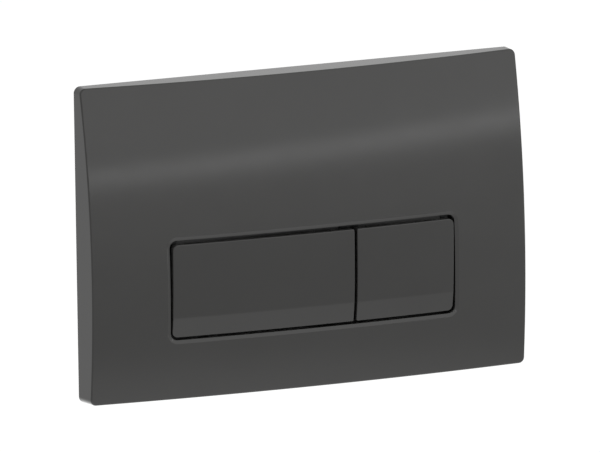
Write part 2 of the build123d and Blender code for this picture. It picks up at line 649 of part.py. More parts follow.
def make_spacer_bolt(x):
    """Spacer bolt with a slotted round head in front of the frame and a plain point at its far end."""
    point = disc(x, BOLT_Z, BOLT_POINT_R, -BOLT_REACH, BOLT_POINT_LENGTH - BOLT_REACH)
    point = chamfer(point.edges().sort_by(Axis.Y)[-1], BOLT_TIP)
    bolt = point + disc(x, BOLT_Z, BOLT_R, BOLT_POINT_LENGTH - BOLT_REACH, FRAME_FRONT)
    top = FRAME_FRONT + BOLT_HEAD_HEIGHT
    head = disc(x, BOLT_Z, BOLT_HEAD_R, FRAME_FRONT, top)
    head = chamfer(head.edges().sort_by(Axis.Y)[0], BOLT_HEAD_HEIGHT / 4)
    slot = block(around(x, 2 * BOLT_HEAD_R), around(BOLT_Z, BOLT_SLOT), (top - BOLT_SLOT_DEPTH, top))
    return bolt + (head - slot)


def make_spacer_nut(x):
    """Flat hexagon nut that clamps a spacer bolt behind the frame."""
    front = FRAME_FRONT - FRAME_SKIN
    outline = RegularPolygon(NUT_R, 6) - Circle(BOLT_R + NUT_CLEARANCE)
    return slab(Pos(x, BOLT_Z) * outline, front - NUT_HEIGHT, front)


def save(name, shape):
    """Write one node, with several separate solids where a list is given."""
    solids = shape if isinstance(shape, list) else shape.solids()
    node = solids[0] if len(solids) == 1 else Compound(children=[Part(s.wrapped) for s in solids])
    node.label = name
    export_step(node, os.path.join("parts", f"{name}.step"))


def main():
    os.makedirs("parts", exist_ok=True)
    half_push = PUSH_SPACING / 2
    full_springs = [FULL_MID_X - FULL_SPRING_SPACING / 2, FULL_MID_X + FULL_SPRING_SPACING / 2]
    nodes = {
        "front_plate": make_front_plate(),
        "full_flush_button": make_button(FULL_SPAN, -half_push, full_springs),
        "half_flush_button": make_button(HALF_SPAN, half_push, [HALF_SPRING_X]),
        "full_stop_buffers": make_buffers(FULL_SPAN),
        "half_stop_buffers": make_buffers(HALF_SPAN),
        "button_carrier": make_carrier(full_springs + [HALF_SPRING_X]),
        "carrier_screws": make_carrier_screws(),
        "full_hinge_rod": make_hinge_rod(FULL_SPAN),
        "half_hinge_rod": make_hinge_rod(HALF_SPAN),
        "rod_retaining_rings": make_rings(),
        "full_return_spring_left": make_spring(full_springs[0]),
        "full_return_spring_right": make_spring(full_springs[1]),
        "half_return_spring": make_spring(HALF_SPRING_X),
        "full_push_rod": make_push_rod(-half_push),
        "half_push_rod": make_push_rod(half_push),
        "full_push_rod_head": make_push_head(-half_push),
        "half_push_rod_head": make_push_head(half_push),
        "mounting_frame": make_mounting_frame(),
        "spacer_bolt_left": make_spacer_bolt(-BOLT_SPACING / 2),
        "spacer_bolt_right": make_spacer_bolt(BOLT_SPACING / 2),
        "spacer_nut_left": make_spacer_nut(-BOLT_SPACING / 2),
        "spacer_nut_right": make_spacer_nut(BOLT_SPACING / 2),
    }
    for name, shape in nodes.items():
        save(name, shape)


main()
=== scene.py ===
"""Looks of a dual-flush button plate: finishes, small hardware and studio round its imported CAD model.

Metres throughout, in the part's own frame: X to the right, Y into the wall and Z up, with the wall
plane at Y = 0 behind the middle of the plate.
"""

import json
import logging
import math
from collections.abc import Sequence
from dataclasses import dataclass
from enum import Enum
from typing import Any

import bmesh
import bpy
from mathutils import Matrix, Vector

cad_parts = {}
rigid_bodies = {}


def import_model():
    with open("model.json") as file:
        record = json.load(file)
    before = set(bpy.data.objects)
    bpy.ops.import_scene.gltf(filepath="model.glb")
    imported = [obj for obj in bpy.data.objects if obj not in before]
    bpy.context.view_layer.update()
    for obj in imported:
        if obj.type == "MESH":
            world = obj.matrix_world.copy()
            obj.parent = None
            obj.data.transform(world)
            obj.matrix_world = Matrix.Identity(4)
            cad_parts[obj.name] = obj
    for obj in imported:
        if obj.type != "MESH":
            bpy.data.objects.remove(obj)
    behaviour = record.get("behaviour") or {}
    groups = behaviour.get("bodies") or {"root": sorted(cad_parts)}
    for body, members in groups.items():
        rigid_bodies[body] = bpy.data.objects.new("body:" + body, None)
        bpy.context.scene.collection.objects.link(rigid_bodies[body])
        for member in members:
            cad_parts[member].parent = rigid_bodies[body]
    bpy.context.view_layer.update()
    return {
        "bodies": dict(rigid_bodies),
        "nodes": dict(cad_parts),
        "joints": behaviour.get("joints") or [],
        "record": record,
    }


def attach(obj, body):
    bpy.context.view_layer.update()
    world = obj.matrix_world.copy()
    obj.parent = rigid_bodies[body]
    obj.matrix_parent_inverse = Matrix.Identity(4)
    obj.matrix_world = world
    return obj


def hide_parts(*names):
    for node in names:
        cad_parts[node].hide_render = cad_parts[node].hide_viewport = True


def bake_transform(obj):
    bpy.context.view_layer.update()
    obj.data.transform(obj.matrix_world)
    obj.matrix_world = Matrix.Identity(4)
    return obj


LOG = logging.getLogger("flush_plate")
MM = 0.001
FULL_TURN = 2.0 * math.pi
SHARP_ANGLE = math.radians(32.0)
MERGE = 1e-7
WHITE = (1.0, 1.0, 1.0, 1.0)
NOISE_SPAN = (0.3, 0.7)  # most of what a noise gives lies between these
CLOSED_TURN = 1.03  # rise of a spring's closed turn, in widths of its wire
TAIL_STEP = 0.3 * MM  # way along a bar over which it changes to its tail

Colour = tuple[float, float, float]
Triple = tuple[float, float, float]
Span = tuple[float, float]
Socket = bpy.types.NodeSocket
Term = bpy.types.NodeSocket | float
Feeds = dict[str | int, Any]


class Body(Enum):
    """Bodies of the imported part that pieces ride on."""

    PLATE = "plate"
    FULL_BUTTON = "full_button"
    HALF_BUTTON = "half_button"
    FULL_ROD = "full_rod"
    HALF_ROD = "half_rod"


class Slot(Enum):
    """Material slots of the record."""

    PLATE = "plate_plastic"
    BUTTON = "button_plastic"
    BUFFER = "buffer_rubber"
    CARRIER = "carrier_plastic"
    SCREW = "screw_steel"
    ROD = "rod_steel"
    SPRING = "spring_steel"
    PUSH_ROD = "push_rod_plastic"
    ROD_HEAD = "rod_head_plastic"
    FRAME = "frame_plastic"
    BOLT = "bolt_plastic"


class DrawnAlong(Enum):
    """Direction that the draw lines of a wire or rod run in, as a stretch of its noise."""

    X = (0.03, 1.0, 1.0)
    Y = (1.0, 0.03, 1.0)


@dataclass(frozen=True)
class Dome:
    """Domed face of the plate: an upright arc that is turned about an upright axis behind the wall."""

    depth: float = 25.5 * MM  # wall plane to the highest point
    peak_z: float = -20.5 * MM  # height of that point
    profile_r: float = 485.0 * MM
    plan_r: float = 953.0 * MM

    @property
    def axis_y(self) -> float:
        """Y of the axis that the arc is turned about."""
        return self.plan_r - self.depth


DOME = Dome()


class NodeBench:
    """Lays out the nodes of one tree."""

    def __init__(self, tree: bpy.types.NodeTree) -> None:
        """Start on a tree, which is emptied."""
        self.tree = tree
        tree.nodes.clear()

    def wire(self, node: bpy.types.Node, feeds: Feeds) -> None:
        """Link or set inputs of a node.

        Args:
            node: The node.
            feeds: Socket to link or value to set, by the input's name or number.
        """
        for label, value in feeds.items():
            if isinstance(value, Socket):
                self.tree.links.new(value, node.inputs[label])
            else:
                node.inputs[label].default_value = value

    def add(self, kind: str, feeds: Feeds | None = None, **settings: Any) -> bpy.types.Node:
        """Add a node.

        Args:
            kind: Its kind.
            feeds: Socket to link or value to set, by the input's name or number.
            settings: Its settings.

        Returns:
            The node.
        """
        node = self.tree.nodes.new(kind)
        for label, value in settings.items():
            setattr(node, label, value)
        self.wire(node, feeds or {})
        return node

    def maths(self, operation: str, *terms: Term) -> Socket:
        """Number worked out from others by a Math node."""
        return self.add("ShaderNodeMath", dict(enumerate(terms)), operation=operation).outputs["Value"]

    def product(self, *terms: Term) -> Term:
        """Product of two or more numbers.

        Args:
            terms: The numbers.

        Returns:
            The product.
        """
        result = terms[0]
        for term in terms[1:]:
            result = self.maths("MULTIPLY", result, term)
        return result

    def vector(self, operation: str, *terms: Socket | Triple, output: str = "Vector") -> Socket:
        """Output of a Vector Math node."""
        return self.add("ShaderNodeVectorMath", dict(enumerate(terms)), operation=operation).outputs[output]

    def point(self, x: Term, y: Term, z: Term) -> Socket:
        """Point of three numbers."""
        return self.add("ShaderNodeCombineXYZ", {"X": x, "Y": y, "Z": z}).outputs["Vector"]

    def run(self, value: Socket, start: Term, end: Term, low: Term, high: Term) -> Socket:
        """Number that runs from one level to another while a value passes between two places.

        Args:
            value: Value that is followed.
            start: Place where the run starts.
            end: Place where it ends.
            low: Level before the start.
            high: Level past the end.

        Returns:
            The level.
        """
        feeds = {"Value": value, "From Min": start, "From Max": end, "To Min": low, "To Max": high}
        return self.add("ShaderNodeMapRange", feeds, clamp=True).outputs["Result"]


class ShaderBench(NodeBench):
    """Lays out one material on Object coordinates."""

    def __init__(self, name: str) -> None:
        """Start a material with a shader and no pattern.

        Args:
            name: Name of the material.
        """
        self.material = bpy.data.materials.new(name)
        self.material.use_nodes = True
        super().__init__(self.material.node_tree)
        self.shader = self.add("ShaderNodeBsdfPrincipled")
        self.add("ShaderNodeOutputMaterial", {"Surface": self.shader.outputs["BSDF"]})
        self.place = self.add("ShaderNodeTexCoord").outputs["Object"]

    def noise(self, size: float, octaves: float, stretch: Triple = (1.0, 1.0, 1.0)) -> Socket:
        """Soft noise.

        Args:
            size: Rough width of its lumps.
            octaves: Octaves of finer noise in it.
            stretch: Scale of the place it is read at, along X, Y and Z.

        Returns:
            Its value, about 0 to 1.
        """
        place = self.add("ShaderNodeMapping", {"Vector": self.place, "Scale": stretch}).outputs["Vector"]
        feeds = {"Vector": place, "Scale": 1.0 / size, "Detail": octaves}
        return self.add("ShaderNodeTexNoise", feeds).outputs["Fac"]

    def cells(self, size: float) -> Socket:
        """Random value of each cell of a cellular pattern of a size."""
        cells = self.add("ShaderNodeTexVoronoi", {"Vector": self.place, "Scale": 1.0 / size})
        return self.add("ShaderNodeRGBToBW", {"Color": cells.outputs["Color"]}).outputs["Val"]

    def tint(self, noise: Socket, colour: Colour, spread: float) -> None:
        """Colour the shader, a little darker and lighter with a noise.

        Args:
            noise: The noise.
            colour: Middle colour.
            spread: Share that it varies by.
        """
        ramp = self.add("ShaderNodeValToRGB", {"Fac": noise})
        for stop, place, share in zip(ramp.color_ramp.elements, NOISE_SPAN, (1.0 - spread, 1.0 + spread)):
            stop.position = place
            stop.color = (*(share * c for c in colour), 1.0)
        self.wire(self.shader, {"Base Color": ramp.outputs["Color"]})

    def roughen(self, noise: Socket, roughness: float, shares: Span) -> None:
        """Roughen the shader, between two shares of a middle roughness with a noise."""
        low, high = (share * roughness for share in shares)
        self.wire(self.shader, {"Roughness": self.run(noise, *NOISE_SPAN, low, high)})

    def domed(self, dome: Dome, within: float = 4.0) -> Socket:
        """Exact normal of a domed face, which the facets of its mesh only come near to.

        Args:
            dome: The face.
            within: Degrees that a facet may lean from the face and still count as part of it.

        Returns:
            The exact normal on the face, and the mesh's own elsewhere.
        """
        from_centre = self.vector("SUBTRACT", self.place, (0.0, dome.axis_y, dome.peak_z))
        outward = self.vector("NORMALIZE", self.vector("MULTIPLY", from_centre, (1.0, 1.0, 0.0)))
        climb = self.vector("DOT_PRODUCT", from_centre, (0.0, 0.0, 1.0 / dome.profile_r), output="Value")
        upward = self.point(0.0, 0.0, self.maths("TANGENT", self.maths("ARCSINE", climb)))
        exact = self.vector("NORMALIZE", self.vector("ADD", outward, upward))
        mesh = self.add("ShaderNodeNewGeometry").outputs
        match = self.vector("DOT_PRODUCT", exact, mesh["True Normal"], output="Value")
        on_face = self.maths("GREATER_THAN", match, math.cos(math.radians(within)))
        change = self.vector("MULTIPLY", self.vector("SUBTRACT", exact, mesh["Normal"]), on_face)
        return self.vector("ADD", mesh["Normal"], change)

    def relief(self, *layers: tuple[Socket, float], base: Socket | None = None) -> None:
        """Bump the shader by one or more height noises.

        Args:
            layers: Height and depth of each layer, from coarse to fine.
            base: Normal that they start from, if not the mesh's own.
        """
        normal = base
        for height, depth in layers:
            start = {} if normal is None else {"Normal": normal}
            feeds = {"Height": height, "Distance": depth, **start}
            normal = self.add("ShaderNodeBump", feeds).outputs["Normal"]
        self.wire(self.shader, {"Normal": normal})


@dataclass(frozen=True)
class Finish:
    """A finish: its middle colour and roughness, and how far they vary."""

    name: str
    colour: Colour
    roughness: float
    spread: float = 0.05  # share that the colour varies by
    sheen: Span = (0.93, 1.07)  # shares of the roughness that it varies between

    def material(self) -> bpy.types.Material:
        """Make the material.

        Returns:
            The material.
        """
        bench = ShaderBench(self.name)
        self.lay(bench)
        return bench.material

    def lay(self, bench: ShaderBench) -> None:
        """Lay out the finish's own pattern."""
        raise NotImplementedError


@dataclass(frozen=True)
class MouldedPlastic(Finish):
    """Plastic from a spark-eroded mould: slow clouds of colour, fine grain and a faint ripple."""

    specular: float = 0.5
    cloud: float = 30.0 * MM
    patch: float = 10.0 * MM
    grain: float = 0.35 * MM
    grain_depth: float = 0.004 * MM
    ripple: float = 18.0 * MM
    ripple_depth: float = 0.01 * MM
    dome: Dome | None = None

    def lay(self, bench: ShaderBench) -> None:
        """Lay out clouds, patches, ripple and grain.

        Args:
            bench: Bench of the material.
        """
        bench.wire(bench.shader, {"Specular IOR Level": self.specular})
        bench.tint(bench.noise(self.cloud, octaves=4.0), self.colour, self.spread)
        bench.roughen(bench.noise(self.patch, octaves=5.0), self.roughness, self.sheen)
        ripple, grain = bench.noise(self.ripple, octaves=1.0), bench.noise(self.grain, octaves=2.0)
        base = bench.domed(self.dome) if self.dome else None
        bench.relief((ripple, self.ripple_depth), (grain, self.grain_depth), base=base)


@dataclass(frozen=True)
class DrawnSteel(Finish):
    """Bright steel wire or rod with fine draw lines along it."""

    spread: float = 0.12
    sheen: Span = (0.8, 1.3)
    along: DrawnAlong = DrawnAlong.X
    streak: float = 4.0 * MM
    line: float = 0.25 * MM
    line_depth: float = 0.003 * MM

    def lay(self, bench: ShaderBench) -> None:
        """Lay out streaks and draw lines.

        Args:
            bench: Bench of the material.
        """
        bench.wire(bench.shader, {"Metallic": 1.0})
        lines = bench.noise(self.line, octaves=3.0, stretch=self.along.value)
        streaks = bench.noise(self.streak, octaves=4.0, stretch=self.along.value)
        bench.tint(streaks, self.colour, self.spread)
        bench.roughen(lines, self.roughness, self.sheen)
        bench.relief((lines, self.line_depth))


@dataclass(frozen=True)
class PlatedSteel(Finish):
    """Zinc-plated steel with a faint crystal spangle and dulled patches."""

    spread: float = 0.1
    sheen: Span = (0.7, 1.4)
    spangle: float = 0.6 * MM
    patch: float = 2.5 * MM
    patch_depth: float = 0.01 * MM
    pit: float = 0.12 * MM
    pit_depth: float = 0.002 * MM

    def lay(self, bench: ShaderBench) -> None:
        """Lay out spangle, patches and pits.

        Args:
            bench: Bench of the material.
        """
        bench.wire(bench.shader, {"Metallic": 1.0})
        patches = bench.noise(self.patch, octaves=4.0)
        bench.tint(bench.cells(self.spangle), self.colour, self.spread)
        bench.roughen(patches, self.roughness, self.sheen)
        bench.relief((patches, self.patch_depth), (bench.noise(self.pit, octaves=2.0), self.pit_depth))


@dataclass(frozen=True)
class MouldedRubber(Finish):
    """Matt black rubber with a dusty bloom."""

    spread: float = 0.3
    sheen: Span = (0.9, 1.1)
    bloom: float = 1.8 * MM
    grain: float = 0.15 * MM
    grain_depth: float = 0.008 * MM

    def lay(self, bench: ShaderBench) -> None:
        """Lay out bloom and grain.

        Args:
            bench: Bench of the material.
        """
        bloom = bench.noise(self.bloom, octaves=5.0)
        bench.tint(bloom, self.colour, self.spread)
        bench.roughen(bloom, self.roughness, self.sheen)
        bench.relief((bench.noise(self.grain, octaves=2.0), self.grain_depth))


SATIN = {"specular": 0.28, "spread": 0.03, "grain_depth": 0.0015 * MM, "ripple_depth": 0.004 * MM}
FINISHES: dict[Slot, Finish] = {
    Slot.PLATE: MouldedPlastic("anthracite_plate", (0.034, 0.0337, 0.0327), 0.14, dome=DOME, **SATIN),
    Slot.BUTTON: MouldedPlastic("anthracite_buttons", (0.031, 0.0307, 0.0298), 0.14, **SATIN),
    Slot.BUFFER: MouldedRubber("black_rubber", (0.02, 0.02, 0.02), 0.8),
    Slot.CARRIER: MouldedPlastic("black_carrier", (0.012, 0.012, 0.0125), 0.42, grain=0.5 * MM),
    Slot.SCREW: PlatedSteel("zinc_screws", (0.62, 0.62, 0.6), 0.3),
    Slot.ROD: DrawnSteel("bright_rod", (0.6, 0.6, 0.59), 0.22, along=DrawnAlong.X),
    Slot.SPRING: DrawnSteel("spring_wire", (0.5, 0.5, 0.5), 0.3, along=DrawnAlong.Y, line=0.4 * MM),
    Slot.PUSH_ROD: MouldedPlastic("white_push_rod", (0.72, 0.72, 0.69), 0.4),
    Slot.ROD_HEAD: MouldedPlastic("blue_grey_heads", (0.16, 0.24, 0.34), 0.4, spread=0.08),
    Slot.FRAME: MouldedPlastic("dark_grey_frame", (0.035, 0.036, 0.038), 0.45, spread=0.06, grain=0.5 * MM),
    Slot.BOLT: MouldedPlastic("white_bolts", (0.68, 0.68, 0.66), 0.38),
}


class Store:
    """Makes each finish once, and gives it to CAD nodes and made pieces."""

    def __init__(self) -> None:
        """Start with no finish made."""
        self.made: dict[Slot, bpy.types.Material] = {}

    def material(self, slot: Slot) -> bpy.types.Material:
        """Material of a slot, made when it is first asked for.

        Args:
            slot: The slot.

        Returns:
            Its material.
        """
        if slot not in self.made:
            self.made[slot] = FINISHES[slot].material()
        return self.made[slot]

    def dress(self, frame: dict[str, Any], slot: Slot, *nodes: str) -> None:
        """Give CAD nodes the finish of a slot.

        Args:
            slot: Material slot of the nodes.
            nodes: Their names.
        """
        for name in nodes:
            held = frame["nodes"][name].data.materials
            held.clear()
            held.append(self.material(slot))
            LOG.info("node %s wears %s", name, self.material(slot).name)

    def coat(self, piece: bpy.types.Object, slot: Slot, *nodes: str) -> None:
        """Finish a made piece and hide the CAD nodes that it stands for.

        Args:
            piece: Mesh object at the origin, its place in its mesh.
            slot: Material slot that it takes its finish from.
            nodes: CAD nodes that it stands for, if any.
        """
        piece.data.materials.clear()
        piece.data.materials.append(self.material(slot))
        seal(piece.data)
        if nodes:
            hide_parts(*nodes)
        LOG.info("piece %s has %d faces", piece.name, len(piece.data.polygons))

    def deliver(self, piece: bpy.types.Object, body: Body, slot: Slot, *nodes: str) -> None:
        """Finish a made piece and hang it on its body."""
        self.coat(piece, slot, *nodes)
        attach(piece, body.value)


def seal(mesh: bpy.types.Mesh) -> None:
    """Merge doubles, turn faces outwards and shade smooth between sharp edges.

    Args:
        mesh: Mesh of a finished piece.
    """
    work = bmesh.new()
    work.from_mesh(mesh)
    bmesh.ops.remove_doubles(work, verts=work.verts, dist=MERGE)
    bmesh.ops.recalc_face_normals(work, faces=work.faces)
    work.to_mesh(mesh)
    work.free()
    mesh.shade_smooth()
    mesh.set_sharp_from_angle(angle=SHARP_ANGLE)


def placed(name: str, work: bmesh.types.BMesh) -> bpy.types.Object:
    """Object of a worked mesh, linked to the scene.

    Args:
        name: Name of the object and its mesh.
        work: Mesh in the making, freed here.

    Returns:
        The object.
    """
    mesh = bpy.data.meshes.new(name)
    work.to_mesh(mesh)
    work.free()
    made = bpy.data.objects.new(name, mesh)
    bpy.context.scene.collection.objects.link(made)
    return made


def discard(*helpers: bpy.types.Object) -> None:
    """Remove objects that only helped to make another."""
    for helper in helpers:
        bpy.data.objects.remove(helper, do_unlink=True)


def settle(made: bpy.types.Object) -> None:
    """Turn what an object's modifiers give into its plain mesh.

    Args:
        made: The object, left without modifiers.
    """
    bpy.context.view_layer.update()
    evaluated = made.evaluated_get(bpy.context.evaluated_depsgraph_get())
    mesh = bpy.data.meshes.new_from_object(evaluated)
    made.modifiers.clear()
    made.data = mesh
    mesh.name = made.name


def joined(name: str, *parts: bpy.types.Object) -> bpy.types.Object:
    """One object of several, which are removed.

    Args:
        name: Name of the new object.
        parts: Objects at the origin.

    Returns:
        The new object.
    """
    work = bmesh.new()
    for part in parts:
        work.from_mesh(part.data)
    discard(*parts)
    return placed(name, work)


def skin(work: bmesh.types.BMesh, rings: Sequence[Sequence[bmesh.types.BMVert]], closed: bool = True) -> None:
    """Lay faces between neighbouring rings of points.

    Args:
        work: Mesh in the making.
        rings: Points of each ring. The first and the last may be a single point.
        closed: Whether the rings go all the way round.
    """
    for low, high in zip(rings, rings[1:]):
        count = max(len(low), len(high))
        for i in range(count if closed else count - 1):
            j = i + 1
            corners = (low[i % len(low)], low[j % len(low)], high[j % len(high)], high[i % len(high)])
            work.faces.new(list(dict.fromkeys(corners)))


def turned(name: str, profile: Sequence[Span], sides: int) -> bpy.types.Object:
    """Closed solid turned about the Y axis.

    Args:
        name: Name of the object.
        profile: Radius and y of each point, the first and last on the axis.
        sides: Faces round it.

    Returns:
        The object.
    """
    work = bmesh.new()
    rings = []
    for radius, y in profile:
        turns = [FULL_TURN * i / sides for i in range(sides if radius > 0.0 else 1)]
        rings.append([work.verts.new((radius * math.sin(a), y, radius * math.cos(a))) for a in turns])
    skin(work, rings)
    bmesh.ops.recalc_face_normals(work, faces=work.faces)
    return placed(name, work)


def rounded_end(radius: float, reach: float, steps: int) -> list[Span]:
    """Rounded corner: how far in and how far along each of its points lies, from the side to the end.

    Args:
        radius: Radius of the corner across.
        reach: Radius of the corner along.
        steps: Segments of it.

    Returns:
        The two ways of each point.
    """
    turns = [0.25 * FULL_TURN * i / steps for i in range(steps + 1)]
    return [(radius * (1.0 - math.cos(a)), reach * math.sin(a)) for a in turns]


def carved(target: bpy.types.Object, *cutters: bpy.types.Object) -> bpy.types.Object:
    """Cut shapes out of an object, and remove them.

    Args:
        target: Closed object to cut.
        cutters: Closed objects to cut with.

    Returns:
        The cut object.
    """
    for cutter in cutters:
        cut = target.modifiers.new("cut", "BOOLEAN")
        cut.operation = "DIFFERENCE"
        cut.solver = "EXACT"
        cut.object = cutter
    settle(target)
    discard(*cutters)
    return target


def wedge(name: str, low: Triple, high: Triple, share: float = 1.0) -> bpy.types.Object:
    """Block along Y whose low end is narrowed to a share of its width and height.

    Args:
        name: Name of the object.
        low: Lowest corner.
        high: Highest corner.
        share: Size of its low end against its high end.

    Returns:
        The object.
    """
    work = bmesh.new()
    bmesh.ops.create_cube(work, size=1.0)
    span = Vector(high) - Vector(low)
    middle = Vector(low) + span / 2
    for vert in work.verts:
        size = share if vert.co.y < 0.0 else 1.0
        vert.co = middle + vert.co * span * Vector((size, 1.0, size))
    return placed(name, work)


class NodePlan(NodeBench):
    """Lays out a Geometry Nodes tree with named inputs."""

    def __init__(self, name: str, **inputs: str) -> None:
        """Start a tree with a geometry and a material going in, and a geometry coming out.

        Args:
            name: Name of the tree.
            inputs: Kind of socket of each further input, by its name.
        """
        super().__init__(bpy.data.node_groups.new(name, "GeometryNodeTree"))
        sides = self.tree.interface
        for label, kind in {"Geometry": "Geometry", **inputs, "Material": "Material"}.items():
            sides.new_socket(label, in_out="INPUT", socket_type=f"NodeSocket{kind}")
        sides.new_socket("Geometry", in_out="OUTPUT", socket_type="NodeSocketGeometry")
        self.given = self.add("NodeGroupInput").outputs

    def place(self) -> tuple[Socket, Socket, Socket]:
        """X, Y and Z of each point."""
        spot = self.add("GeometryNodeInputPosition").outputs["Position"]
        return tuple(self.add("ShaderNodeSeparateXYZ", {"Vector": spot}).outputs)

    def moved(self, geometry: Socket, place: Socket) -> Socket:
        """Geometry with its points set to a place."""
        feeds = {"Geometry": geometry, "Position": place}
        return self.add("GeometryNodeSetPosition", feeds).outputs["Geometry"]

    def close(self, geometry: Socket) -> bpy.types.NodeTree:
        """End the tree in plain geometry with its material.

        Args:
            geometry: What the tree has made.

        Returns:
            The tree.
        """
        real = self.add("GeometryNodeRealizeInstances", {"Geometry": geometry}).outputs["Geometry"]
        coat = self.add("GeometryNodeSetMaterial", {"Geometry": real, "Material": self.given["Material"]})
        self.add("NodeGroupOutput", {"Geometry": coat.outputs["Geometry"]})
        return self.tree


def wire_spring_tree() -> bpy.types.NodeTree:
    """Tree of a compression spring of round wire with closed ends, standing along -Y.

    Returns:
        The tree. Coil and Wire are radii, and Closed is the number of closed turns at each end.
    """
    plan = NodePlan("wire_spring", Foot="Vector", Coil="Float", Wire="Float", Length="Float",
                    Turns="Float", Closed="Float", Steps="Int", Sides="Int")
    given = plan.given
    line = plan.add("GeometryNodeCurvePrimitiveLine").outputs["Curve"]
    fine = plan.add("GeometryNodeResampleCurve", {"Curve": line, "Count": given["Steps"]}).outputs["Curve"]
    turns, closed = given["Turns"], given["Closed"]
    turn = plan.product(plan.add("GeometryNodeSplineParameter").outputs["Factor"], turns)
    wire = plan.product(given["Wire"], 2.0)
    end_rise = plan.product(closed, wire, CLOSED_TURN)
    open_end = plan.maths("SUBTRACT", turns, closed)
    inner = plan.maths("SUBTRACT", given["Length"], wire)
    open_rise = plan.maths("SUBTRACT", inner, plan.product(end_rise, 2.0))
    rise = given["Wire"]
    stages = ((0.0, closed, end_rise), (closed, open_end, open_rise), (open_end, turns, end_rise))
    for start, end, step in stages:
        rise = plan.maths("ADD", rise, plan.run(turn, start, end, 0.0, step))
    angle = plan.product(turn, FULL_TURN)
    x, z = (plan.product(given["Coil"], plan.maths(wave, angle)) for wave in ("COSINE", "SINE"))
    place = plan.vector("ADD", plan.point(x, plan.product(rise, -1.0), z), given["Foot"])
    feeds = {"Resolution": given["Sides"], "Radius": given["Wire"]}
    ring = plan.add("GeometryNodeCurvePrimitiveCircle", feeds).outputs["Curve"]
    feeds = {"Curve": plan.moved(fine, place), "Profile Curve": ring, "Fill Caps": True}
    return plan.close(plan.add("GeometryNodeCurveToMesh", feeds).outputs["Mesh"])


def ridged_bar_tree() -> bpy.types.NodeTree:
    """Tree of a round bar along +Y with rings or a round thread, tapered ends and a plain tail.

    Returns:
        The tree. Lead is 1 for a thread and 0 for rings; From and To bound the ridges; Tail is the
        radius past TailFrom; Tip is the share of the radius left at the very ends.
    """
    plan = NodePlan("ridged_bar", Foot="Vector", Length="Float", Crest="Float", Root="Float", Pitch="Float",
                    Lead="Float", From="Float", To="Float", Tail="Float", TailFrom="Float",
                    StartTaper="Float", EndTaper="Float", Tip="Float", Sides="Int", Rows="Int")
    given = plan.given
    feeds = {"Vertices": given["Sides"], "Side Segments": given["Rows"], "Radius": 1.0, "Depth": 1.0}
    bar = plan.add("GeometryNodeMeshCylinder", feeds, fill_type="NGON").outputs["Mesh"]
    x, back, up = plan.place()
    z = plan.product(back, -1.0)
    length = given["Length"]
    along = plan.product(plan.maths("ADD", up, 0.5), length)
    share = plan.product(plan.maths("ARCTAN2", x, z), given["Lead"], 1.0 / FULL_TURN)
    phase = plan.maths("SUBTRACT", plan.maths("DIVIDE", along, given["Pitch"]), share)
    wave = plan.maths("COSINE", plan.product(phase, FULL_TURN))
    dip = plan.maths("SUBTRACT", 0.5, plan.product(wave, 0.5))
    half_pitch = plan.product(given["Pitch"], 0.5)
    rising = plan.run(along, given["From"], plan.maths("ADD", given["From"], half_pitch), 0.0, 1.0)
    falling = plan.run(along, plan.maths("SUBTRACT", given["To"], half_pitch), given["To"], 1.0, 0.0)
    depth = plan.maths("SUBTRACT", given["Crest"], given["Root"])
    radius = plan.maths("SUBTRACT", given["Crest"], plan.product(depth, dip, rising, falling))
    tail_end = plan.maths("ADD", given["TailFrom"], TAIL_STEP)
    in_tail = plan.run(along, given["TailFrom"], tail_end, 0.0, 1.0)
    drop = plan.product(plan.maths("SUBTRACT", given["Tail"], radius), in_tail)
    radius = plan.maths("ADD", radius, drop)
    radius = plan.product(radius, plan.run(along, 0.0, given["StartTaper"], given["Tip"], 1.0))
    taper_from = plan.maths("SUBTRACT", length, given["EndTaper"])
    radius = plan.product(radius, plan.run(along, taper_from, length, 1.0, given["Tip"]))
    spot = plan.point(plan.product(radius, x), along, plan.product(radius, z))
    return plan.close(plan.moved(bar, plan.vector("ADD", spot, given["Foot"])))


def swept_rim_tree(dome: Dome) -> bpy.types.NodeTree:
    """Tree of a rim: an outline swept round a rounded oblong in X and Z, and laid on a domed face.

    Args:
        dome: The face. The outline's X runs outwards along it, and its Y down from it.

    Returns:
        The tree. Outline is an object with a closed loop of edges, and Middle the height of the oblong.
    """
    plan = NodePlan("swept_rim", Outline="Object", Middle="Float", Width="Float", Height="Float",
                    Corner="Float", CornerSteps="Int", Step="Float")
    given = plan.given
    feeds = {"Width": given["Width"], "Height": given["Height"]}
    curve = plan.add("GeometryNodeCurvePrimitiveQuadrilateral", feeds).outputs["Curve"]
    feeds = {"Curve": curve, "Radius": given["Corner"], "Count": given["CornerSteps"]}
    curve = plan.add("GeometryNodeFilletCurve", feeds, mode="POLY").outputs["Curve"]
    feeds = {"Curve": curve, "Length": given["Step"]}
    curve = plan.add("GeometryNodeResampleCurve", feeds, mode="LENGTH").outputs["Curve"]
    loop = plan.add("GeometryNodeObjectInfo", {"Object": given["Outline"]}).outputs["Geometry"]
    outline = plan.add("GeometryNodeMeshToCurve", {"Mesh": loop}).outputs["Curve"]
    sweep = plan.add("GeometryNodeCurveToMesh", {"Curve": curve, "Profile Curve": outline}).outputs["Mesh"]
    x, up, lift = plan.place()
    z = plan.maths("ADD", up, given["Middle"])
    climb = plan.maths("SUBTRACT", z, dome.peak_z)
    rise = plan.maths("SQRT", plan.maths("SUBTRACT", dome.profile_r**2, plan.product(climb, climb)))
    reach = plan.maths("ADD", rise, dome.plan_r - dome.profile_r)
    depth = plan.maths("SQRT", plan.maths("SUBTRACT", plan.product(reach, reach), plan.product(x, x)))
    face = plan.maths("SUBTRACT", dome.axis_y, depth)
    return plan.close(plan.moved(sweep, plan.point(x, plan.maths("SUBTRACT", face, lift), z)))


